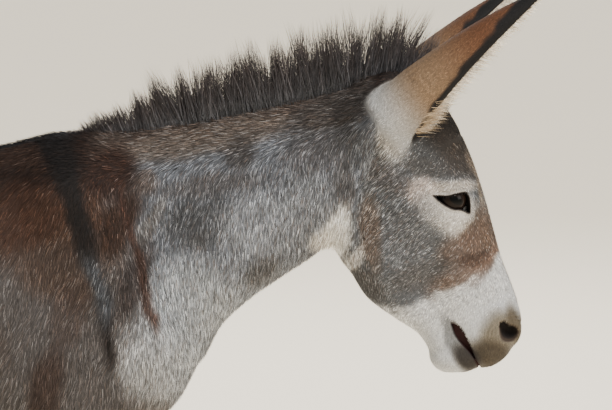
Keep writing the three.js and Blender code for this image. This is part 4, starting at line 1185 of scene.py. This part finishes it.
def lie_of_coat(p, outward):
    """The direction in which the hair lies, along the skin."""
    x, side, z = p[:, 0], np.abs(p[:, 1]), p[:, 2]
    t, v = along_axis(NECK_START, NECK_ALONG, x, z)
    s, u = along_axis(HEAD_START, HEAD_ALONG, x, z)
    lie = mixed(all_over((-0.85, 0, -0.5), p), (-0.98, 0, -0.15), ramp(z, 990, 1070))
    lie = mixed(lie, (-0.2, 0, -0.98), ramp(x, -150, 20))
    lie = mixed(lie, (-0.1, 0, -1), ramp(z, 650, 560))
    lie = mixed(lie, (-0.12, 0, -1), ramp(t, -20, 90))
    top = curve(NECK, t)[0]
    lie = mixed(lie, (-0.95, 0, -0.3), ramp(v, top - 105, top - 40) * ramp(t, -60, 60))
    cheek = mixed(all_over((-0.72, 0, -0.7), p), (-0.87, 0, -0.5), ramp(s, 200, 300))
    cheek = mixed(cheek, (-0.05, 0, -1), ramp(u, -80, -120))
    front = np.where((s < 110)[:, None], -DOWN_FACE, DOWN_FACE)
    cheek = mixed(cheek, front, ramp(u, 30, 80))
    cheek = mixed(cheek, (-0.45, 0, -0.89), ramp(s, 320, 380))
    lie = mixed(lie, cheek, head_share(x, z))
    lie[:, 1] = 0
    ear_up = EAR_ALONG * np.stack([np.ones(len(p)), np.sign(p[:, 1]), np.ones(len(p))], 1)
    lie = lie + (ear_up - lie) * on_ear(x, side, z)[0][:, None]
    turn = np.cross(outward, lie)
    lie = lie + turn * (0.24 * wander(p, 17) + 0.1 * wander(p, 6, 3.0))[:, None]
    return unit(lie - outward * (lie * outward).sum(1, keepdims=True))


def roan(colour, amount, locks, chance):
    """Each tuft's own tone: some white, some dark and some brown among the grey."""
    pick = chance.random(len(colour))
    tone = np.exp(0.28 * amount * chance.standard_normal(len(colour)) + amount * locks)
    colour = colour * tone[:, None]
    amount = amount * ramp(colour.mean(1), 30, 115) * (1 - 0.5 * ramp(colour.mean(1), 175, 225))
    colour = mixed(colour, (206, 207, 208), 0.5 * amount * (pick < 0.16))
    colour = mixed(colour, (40, 36, 36), 0.55 * amount * ((pick > 0.16) & (pick < 0.38)))
    return mixed(colour, (112, 84, 66), 0.4 * amount * ((pick > 0.38) & (pick < 0.48)))


def around_part(p, part):
    """Where a place lies along a part of the body and around it: the coat's own flat map."""
    x, side, z = p[:, 0], np.abs(p[:, 1]), p[:, 2]
    if part == "head":
        s, u = along_axis(HEAD_START, HEAD_ALONG, x, z)
        return s, np.arctan2(u + 20, side)
    if part == "neck":
        t, v = along_axis(NECK_START, NECK_ALONG, x, z)
        return t, np.arctan2(v, side)
    if part == "legs":
        middle = np.where(x > -300, 80, -830)
        return z, np.arctan2(side - 88, x - middle) + np.where(x > -300, 7, 0)
    if part == "ear":
        along, opens, across = in_ear(x, side, z)
        radius = curve(EAR, along / EAR_LENGTH)[0]
        back = ear_middle(np.clip(along / EAR_LENGTH, 0, 1), radius) - opens
        return along, np.arctan2(across, back) + np.where(np.hypot(across, back) > radius, 7, 0)
    return x, np.arctan2(z - 850, side)


def on_flat_map(places):
    """Places on a flat map, spread to fill it but for a narrow rim."""
    low, high = places.min(0), places.max(0)
    return 0.01 + 0.98 * (places - low) / (high - low + 1e-6)


def dress(piece, faces, colours, patch, material):
    """Gives a piece of hair its colours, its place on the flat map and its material."""
    coloured(piece, colours)
    flat = piece.data.uv_layers.new(name="OFBake")
    flat.data.foreach_set("uv", patch[faces.ravel()].astype(np.float32).ravel())
    piece.data.materials.append(material)
    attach(piece, "root")


def tufts(name, part, roots, outward, lie, length, width, lift, tip_colour, material, chance):
    """A piece of coat: for each root a closed, three-sided point that lies along the skin."""
    across = np.cross(lie, outward) * (width / 2)[:, None]
    sunk = roots - outward * 0.7
    corners = np.stack([sunk + across, sunk - across, sunk - outward * (0.6 * width)[:, None],
                        roots + lie * length[:, None] + outward * lift[:, None]], 1)
    faces = (TUFT_FACES + 4 * np.arange(len(roots))[:, None, None]).reshape(-1, 3)
    piece = mesh_piece(name, corners.reshape(-1, 3), faces)
    lean = unit(outward + 0.25 * lie + 0.19 * chance.standard_normal(outward.shape))
    piece.data.normals_split_custom_set_from_vertices(np.repeat(lean, 4, axis=0))
    colours = np.repeat(tip_colour * ROOT_SHADE, 4, axis=0)
    colours[3::4] = tip_colour
    patch = on_flat_map(np.stack(around_part(roots, part), 1))[:, None] + TUFT_PATCH
    dress(piece, faces, colours, patch.reshape(-1, 2), material)


def spacing(x, y, z):
    """How far apart the roots of the tufts are."""
    trunk = 3.25 + 1.2 * ramp(-x, 250, 450)
    return by_region(
        x, y, z, trunk, neck=2.45, leg=3.6, foot=3.0, cheek=2.12, face=1.92, muzzle=1.9, ear=2.5, tail=3.6)


def tuft_size(*sizes):
    """A size for each tuft, from those for the regions of the body, varied at random."""
    return by_region(*roots.T, *sizes) * np.exp(0.22 * chance.standard_normal(len(roots)))


chance = np.random.default_rng(7)
roots, outward = scattered(patches, spacing, chance)
hairy = (bareness(roots)[0] < 0.3) & (roots[:, 2] > HAIR_ENDS_AT)
roots, outward = roots[hairy], outward[hairy]
lie = lie_of_coat(roots, outward)
lie = unit(lie + np.cross(outward, lie) * (0.12 * chance.standard_normal(len(roots)))[:, None])
length = tuft_size(14.5, 12.5, 11, 6, 9.5, 6.5, 3.6, 8, 16) * (0.35 + 0.65 * ramp(past_lids(roots), 2, 16))
width = tuft_size(1.35, 1.2, 1.5, 1.2, 1.2, 1.1, 0.8, 1.1, 1.8)
lift = coat_depth(*roots.T) * (0.35 + 0.7 * chance.random(len(roots))) * ramp(past_lids(roots), -4, 9)
at_coronet = ramp(roots[:, 2], 140, 88)  # hair hangs over the top of each hoof
length, lift = length * (1 + 0.7 * at_coronet), lift + 3.6 * at_coronet
amount = by_region(
    *roots.T, trunk=0.6, neck=0.9, leg=0.5, foot=0.4, cheek=1.15, face=1.05, muzzle=0.2, ear=0.2, tail=0.4)
locks = 0.11 * wander(roots, 4.5, 5.0) + 0.09 * wander(roots, 11, 9.0)
tip_colour = roan(coat_colour(roots + lie * 0.5 * length[:, None]), amount, locks, chance)
coat_material = hair_material("coat", 0.75, 0.18, 300)[0]

# Where the coat of ears, head, neck and legs begins or ends, and the most tufts in one piece.
EARS_ABOVE, HEAD_PAST, NECK_PAST, LEGS_UNDER, MOST_TUFTS = 0.06, 430, -40, 520, 49000
neck_place = along_neck(roots[:, 0], roots[:, 2])
on_ears, low_down = up_ear(*roots.T) > EARS_ABOVE, roots[:, 2] < LEGS_UNDER
parts = {
    "ear": on_ears,
    "head": ~on_ears & (neck_place > HEAD_PAST),
    "legs": low_down,
    "neck": ~on_ears & ~low_down & (neck_place > NECK_PAST) & (neck_place <= HEAD_PAST),
}
parts["trunk"] = ~np.any(list(parts.values()), axis=0)
for part, belongs in parts.items():
    for side, side_name in SIDES:
        members = np.flatnonzero(belongs & (np.sign(roots[:, 1]) == side))
        members = members[np.argsort(roots[members, 0])]
        pieces = int(np.ceil(len(members) / MOST_TUFTS))
        for number, m in enumerate(np.array_split(members, pieces)):
            tufts(f"coat_{part}_{side_name}_{number + 1}", part, roots[m], outward[m], lie[m], length[m],
                  width[m], lift[m], tip_colour[m], coat_material, chance)

# ---------------------------------------------------------------- the mane
# Stiff upright hair in pointed clumps along the crest, from the withers to between the ears. It is
# bluish grey at the roots and dark brown at the tips.

# Each row: place and height of the hair's root line, then of its tips.
MANE = [
    [45, 1116, 36, 1124], [100, 1125, 84, 1152], [150, 1133, 128, 1182], [215, 1143, 195, 1222],
    [280, 1153, 264, 1250], [345, 1167, 334, 1269], [410, 1182, 400, 1289], [470, 1197, 464, 1309],
    [525, 1213, 540, 1328], [565, 1221, 606, 1320], [600, 1212, 646, 1280], [624, 1186, 650, 1218],
    [640, 1148, 656, 1158],
]
MANE_COLOURS = ((88, 90, 94), (66, 64, 65), (64, 50, 42))  # root, middle, tip
MANE_SHARES, MANE_TAPER = np.array([0, 0.38, 0.74, 1.0]), (1.0, 0.85, 0.5, 0)
CLUMPS, HAIRS_PER_CLUMP, HAIR_THICKNESS = 112, 104, 0.95
PULL = 0.5  # how far the hairs of a clump come together at its point


def strands(name, paths, thickness, colours, material):
    """A piece of long hair: each path becomes a closed, tapering, three-sided strand."""
    count, rings = paths.shape[:2]
    along = unit(paths[:, -1] - paths[:, 0])
    first = unit(np.cross(along, all_over((0.31, 0.9, 0.3), paths)))
    second = np.cross(along, first)
    points = []
    for k in range(rings - 1):
        for corner in range(3):
            angle = 2 * np.pi * corner / 3
            spoke = first * cos(angle) + second * sin(angle)
            points.append(paths[:, k] + spoke * thickness[:, k, None] / 2)
    points.append(paths[:, -1])
    points = np.stack(points, 1)
    faces = [[0, 2, 1]]
    for k in range(rings - 2):
        for corner in range(3):
            a, b = 3 * k + corner, 3 * k + (corner + 1) % 3
            faces += [[a, b, b + 3], [a, b + 3, a + 3]]
    last = 3 * (rings - 2)
    faces += [[last + corner, last + (corner + 1) % 3, 3 * (rings - 1)] for corner in range(3)]
    each = points.shape[1]
    all_faces = (np.array(faces) + each * np.arange(count)[:, None, None]).reshape(-1, 3)
    piece = mesh_piece(name, points.reshape(-1, 3), all_faces)
    ring_of = np.append(np.repeat(np.arange(rings - 1), 3), rings - 1)
    flat = on_flat_map(np.stack([paths[:, 0, 0] + 0.2 * paths[:, 0, 2], paths[:, 0, 1]], 1))
    offset = np.array([[0, -1], [1, 0], [-1, 0.5]])[np.arange(each) % 3] * PATCH
    offset[-1] = (0, PATCH)
    patch = (flat[:, None] + offset).reshape(-1, 2)
    dress(piece, all_faces, colours[:, ring_of].reshape(-1, 3), patch, material)
    return piece


def strand_colours(stops, count, shares, spread, chance):
    """The colour along each strand, from those of root, middle and tip, some lighter and some darker."""
    root, middle, tip = stops
    colours = mixed(all_over(root, shares), middle, ramp(shares, 0.0, 0.4))
    colours = mixed(colours, tip, ramp(shares, 0.6, 1.0))
    return colours * np.exp(spread * chance.standard_normal((count, 1, 1)))


def tapered(thickness, taper, count):
    return thickness * np.array(taper)[None].repeat(count, 0)


mane_rows = np.array(MANE, float)
line_length = np.append(0, np.cumsum(np.hypot(*np.diff(mane_rows[:, :2], axis=0).T)))
clump_at = (np.arange(CLUMPS) + 0.5 + 0.3 * chance.standard_normal(CLUMPS)) / CLUMPS * line_length[-1]
clump_height = 1.03 - 0.24 * chance.random(CLUMPS) ** 1.3
clump_tilt = 0.17 * chance.standard_normal(CLUMPS)
clump_side = 5 * chance.standard_normal(CLUMPS)
strand_count = CLUMPS * HAIRS_PER_CLUMP
of_clump = np.repeat(np.arange(CLUMPS), HAIRS_PER_CLUMP)
spread_along = 7.5 * chance.standard_normal(strand_count)
at = np.clip(clump_at[of_clump] + spread_along, 0, line_length[-1])
root_x, root_z, tip_x, tip_z = (np.interp(at, line_length, mane_rows[:, k]) for k in range(4))
middle_x, middle_z, top_x, top_z = (
    np.interp(clump_at, line_length, mane_rows[:, k])[of_clump] for k in range(4))
reach = np.hypot(top_x - middle_x, top_z - middle_z)
thin = np.clip(reach / 60, 0.45, 1)
root_side = (12 * thin + 9 * ramp(root_x, 480, 560)) * chance.uniform(-1, 1, strand_count)
share_of_height = clump_height[of_clump] * (1.12 - 0.76 * chance.random(strand_count) ** 0.9)
goal_x = tip_x + (top_x - tip_x) * PULL + reach * clump_tilt[of_clump]
goal_x = goal_x + 3.4 * chance.standard_normal(strand_count)
goal_z = tip_z + (top_z - tip_z) * PULL
goal_side = clump_side[of_clump] * thin + root_side * 0.25 + 1.5 * chance.standard_normal(strand_count)
start = np.stack([root_x, root_side, root_z - 10], 1)
end = np.stack([goal_x, goal_side, goal_z], 1)
end = start + (end - start) * share_of_height[:, None]
bow = 0.035 * reach[:, None] * chance.standard_normal((strand_count, 3))
paths = (start[:, None] + (end - start)[:, None] * MANE_SHARES[None, :, None]
         + bow[:, None] * np.sin(np.pi * MANE_SHARES)[None, :, None])
thickness = tapered(HAIR_THICKNESS, MANE_TAPER, strand_count)
thickness = thickness * np.exp(0.2 * chance.standard_normal((strand_count, 1)))
mane_material = hair_material("mane and tail hair", 0.5, 0.25, 220)[0]
mane_colours = strand_colours(MANE_COLOURS, strand_count, MANE_SHARES, 0.2, chance)
mane = strands("mane_hair", paths, thickness, mane_colours, mane_material)
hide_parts("mane")

# ---------------------------------------------------------------- the switch of the tail
# Long dark hair, coarser than the mane's, that grows round the lower half of the tail's dock. It
# hangs past the end of the dock and gathers to a point below the hocks.

# Each row: height, place of the middle, half width of the hair.
TAIL_HANGS = [
    [760, -945, 20], [700, -942, 27], [600, -938, 34], [500, -936, 30], [400, -937, 20], [330, -938, 6],
]
SWITCH_COLOURS = ((46, 38, 34), (32, 27, 25), (44, 34, 29))
SWITCH_HAIRS, SWITCH_THICKNESS = 1500, 2.2
SWITCH_SHARES, SWITCH_TAPER = np.linspace(0, 1, 6), (1.0, 1.0, 1.0, 0.9, 0.6, 0)
from_height = chance.uniform(640, 790, SWITCH_HAIRS)
to_height = 334 + (from_height - 640) * 0.5 + 110 * chance.random(SWITCH_HAIRS) ** 2
angle = chance.uniform(0, 2 * np.pi, SWITCH_HAIRS)
reach_out = np.sqrt(chance.random(SWITCH_HAIRS))
heights = from_height[:, None] + (to_height - from_height)[:, None] * SWITCH_SHARES
hang = np.array(TAIL_HANGS)[::-1]
middle = np.interp(heights, hang[:, 0], hang[:, 1])
half = np.interp(heights, hang[:, 0], hang[:, 2]) * (0.45 + 0.5 * reach_out)[:, None]
half = np.where(SWITCH_SHARES == 0, np.minimum(half, 15), half)
waver = 2.5 * np.sin(heights / 31 + angle[:, None] * 3)
tail_paths = np.stack([middle + half * np.cos(angle)[:, None] + waver,
                       half * np.sin(angle)[:, None] + waver[:, ::-1] * 0.6, heights], 2)
tail_thickness = tapered(SWITCH_THICKNESS, SWITCH_TAPER, SWITCH_HAIRS)
tail_colours = strand_colours(SWITCH_COLOURS, SWITCH_HAIRS, SWITCH_SHARES, 0.3, chance)
switch = strands("tail_hair", tail_paths, tail_thickness, tail_colours, mane_material)
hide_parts("tail_switch")

# ---------------------------------------------------------------- fringes and lashes
# Long pale hair lines each ear's opening and sticks out past its edges. Short dark lashes stand on
# the upper lids.

FRINGE_HAIRS, DEEP_HAIRS = 2300, 500
FRINGE_COLOURS = ((206, 192, 172), (214, 202, 184), (224, 214, 198))
FRINGE_LENGTH = [(0, 28), (0.2, 26), (0.6, 21), (0.9, 12), (1, 5)]  # share of the ear, length of the hair
DEEP_SHADE = (0.78, 0.72, 0.64)
SHORT_SHARES, SHORT_TAPER = np.linspace(0, 1, 4), (1.0, 0.9, 0.6, 0)
LASHES, LASH_THICKNESS, LASH_COLOURS = 110, 0.45, ((24, 20, 19), (24, 20, 19), (40, 32, 28))
LASH_BEND = [(0, 0.05), (0.35, -0.1), (0.7, -0.3), (0.95, -0.35)]  # share of the length, droop

all_hairs = FRINGE_HAIRS + DEEP_HAIRS
deep = np.arange(all_hairs) >= FRINGE_HAIRS  # these hairs start deep in the ear
fringes = []
for side, side_name in SIDES:
    deep_share = np.clip(0.18 + 0.05 * chance.standard_normal(all_hairs), 0.09, 0.27)
    share = np.where(deep, deep_share, 0.06 + 0.92 * chance.random(all_hairs) ** 1.3)
    radius, half_angle = curve(EAR, share)[:2]
    edge = np.where(chance.random(all_hairs) < 0.5, 1, -1)
    turn = np.radians(half_angle) * edge * (1 - np.where(deep, 0.25, 0.06) * chance.random(all_hairs))
    start = np.stack([share * EAR_LENGTH, ear_middle(share, radius) - (radius - 2.5) * np.cos(turn),
                      (radius - 2.5) * np.sin(turn)], 1)
    past_edge = np.stack([np.full(all_hairs, 0.55), edge * np.sin(turn), edge * np.cos(turn)], 1)
    heading = np.where(deep[:, None], (1.0, 0.3, 0.0), past_edge)
    heading = unit(heading + 0.18 * chance.standard_normal((all_hairs, 3)))
    hair = np.interp(share, *np.transpose(FRINGE_LENGTH)) * chance.uniform(0.5, 1.15, all_hairs)
    hair = (hair * np.where(deep, 1.25, 1))[:, None]
    bend = np.array([0.25, 0.3, 0.0]) * hair
    path = np.stack([start + heading * hair * part + bend * part * part for part in (0, 0.35, 0.7, 1)], 1)
    room = EAR_ROOT + path @ np.array([EAR_ALONG, EAR_OPENS, EAR_ACROSS])
    fringes.append(room * (1, side, 1))
fringe_paths = np.concatenate(fringes)
fringe_thickness = tapered(HAIR_THICKNESS, SHORT_TAPER, len(fringe_paths))
fringe_colours = strand_colours(FRINGE_COLOURS, len(fringe_paths), SHORT_SHARES, 0.10, chance)
fringe_colours[np.tile(deep, 2)] *= DEEP_SHADE
strands("ear_fringe", fringe_paths, fringe_thickness, fringe_colours, coat_material)


def lash_points(a, b, out, long, side):
    """Each lash from its root at the lid's edge, out and gently down."""
    points = []
    for share, droop in LASH_BEND:
        local = np.stack([a * (1 + 0.1 * share), b + long * droop, out + long * share], 1)
        s, u, w = (EYE_CENTRE + local @ np.array([EYE_LENGTHWAYS, EYE_UP, EYE_OUT])).T
        x, z = off_axis(HEAD_START, HEAD_ALONG, s, u)
        points.append(np.stack([x, side * w, z], 1))
    return np.stack(points, 1)


lash_paths = []
for side, side_name in SIDES:
    a = chance.uniform(-26, 24, LASHES)
    b = curve(UPPER_LID, a)[0] + 0.6
    out = np.sqrt(np.maximum((EYE_RADIUS + 1.8) ** 2 - a * a - b * b, 9.0))
    lash_paths.append(lash_points(a, b, out, chance.uniform(6, 11, LASHES), side))
lash_paths = np.concatenate(lash_paths)
lash_thickness = tapered(LASH_THICKNESS, SHORT_TAPER, len(lash_paths))
lash_colours = strand_colours(LASH_COLOURS, len(lash_paths), SHORT_SHARES, 0.1, chance)
strands("eyelashes", lash_paths, lash_thickness, lash_colours, mane_material)
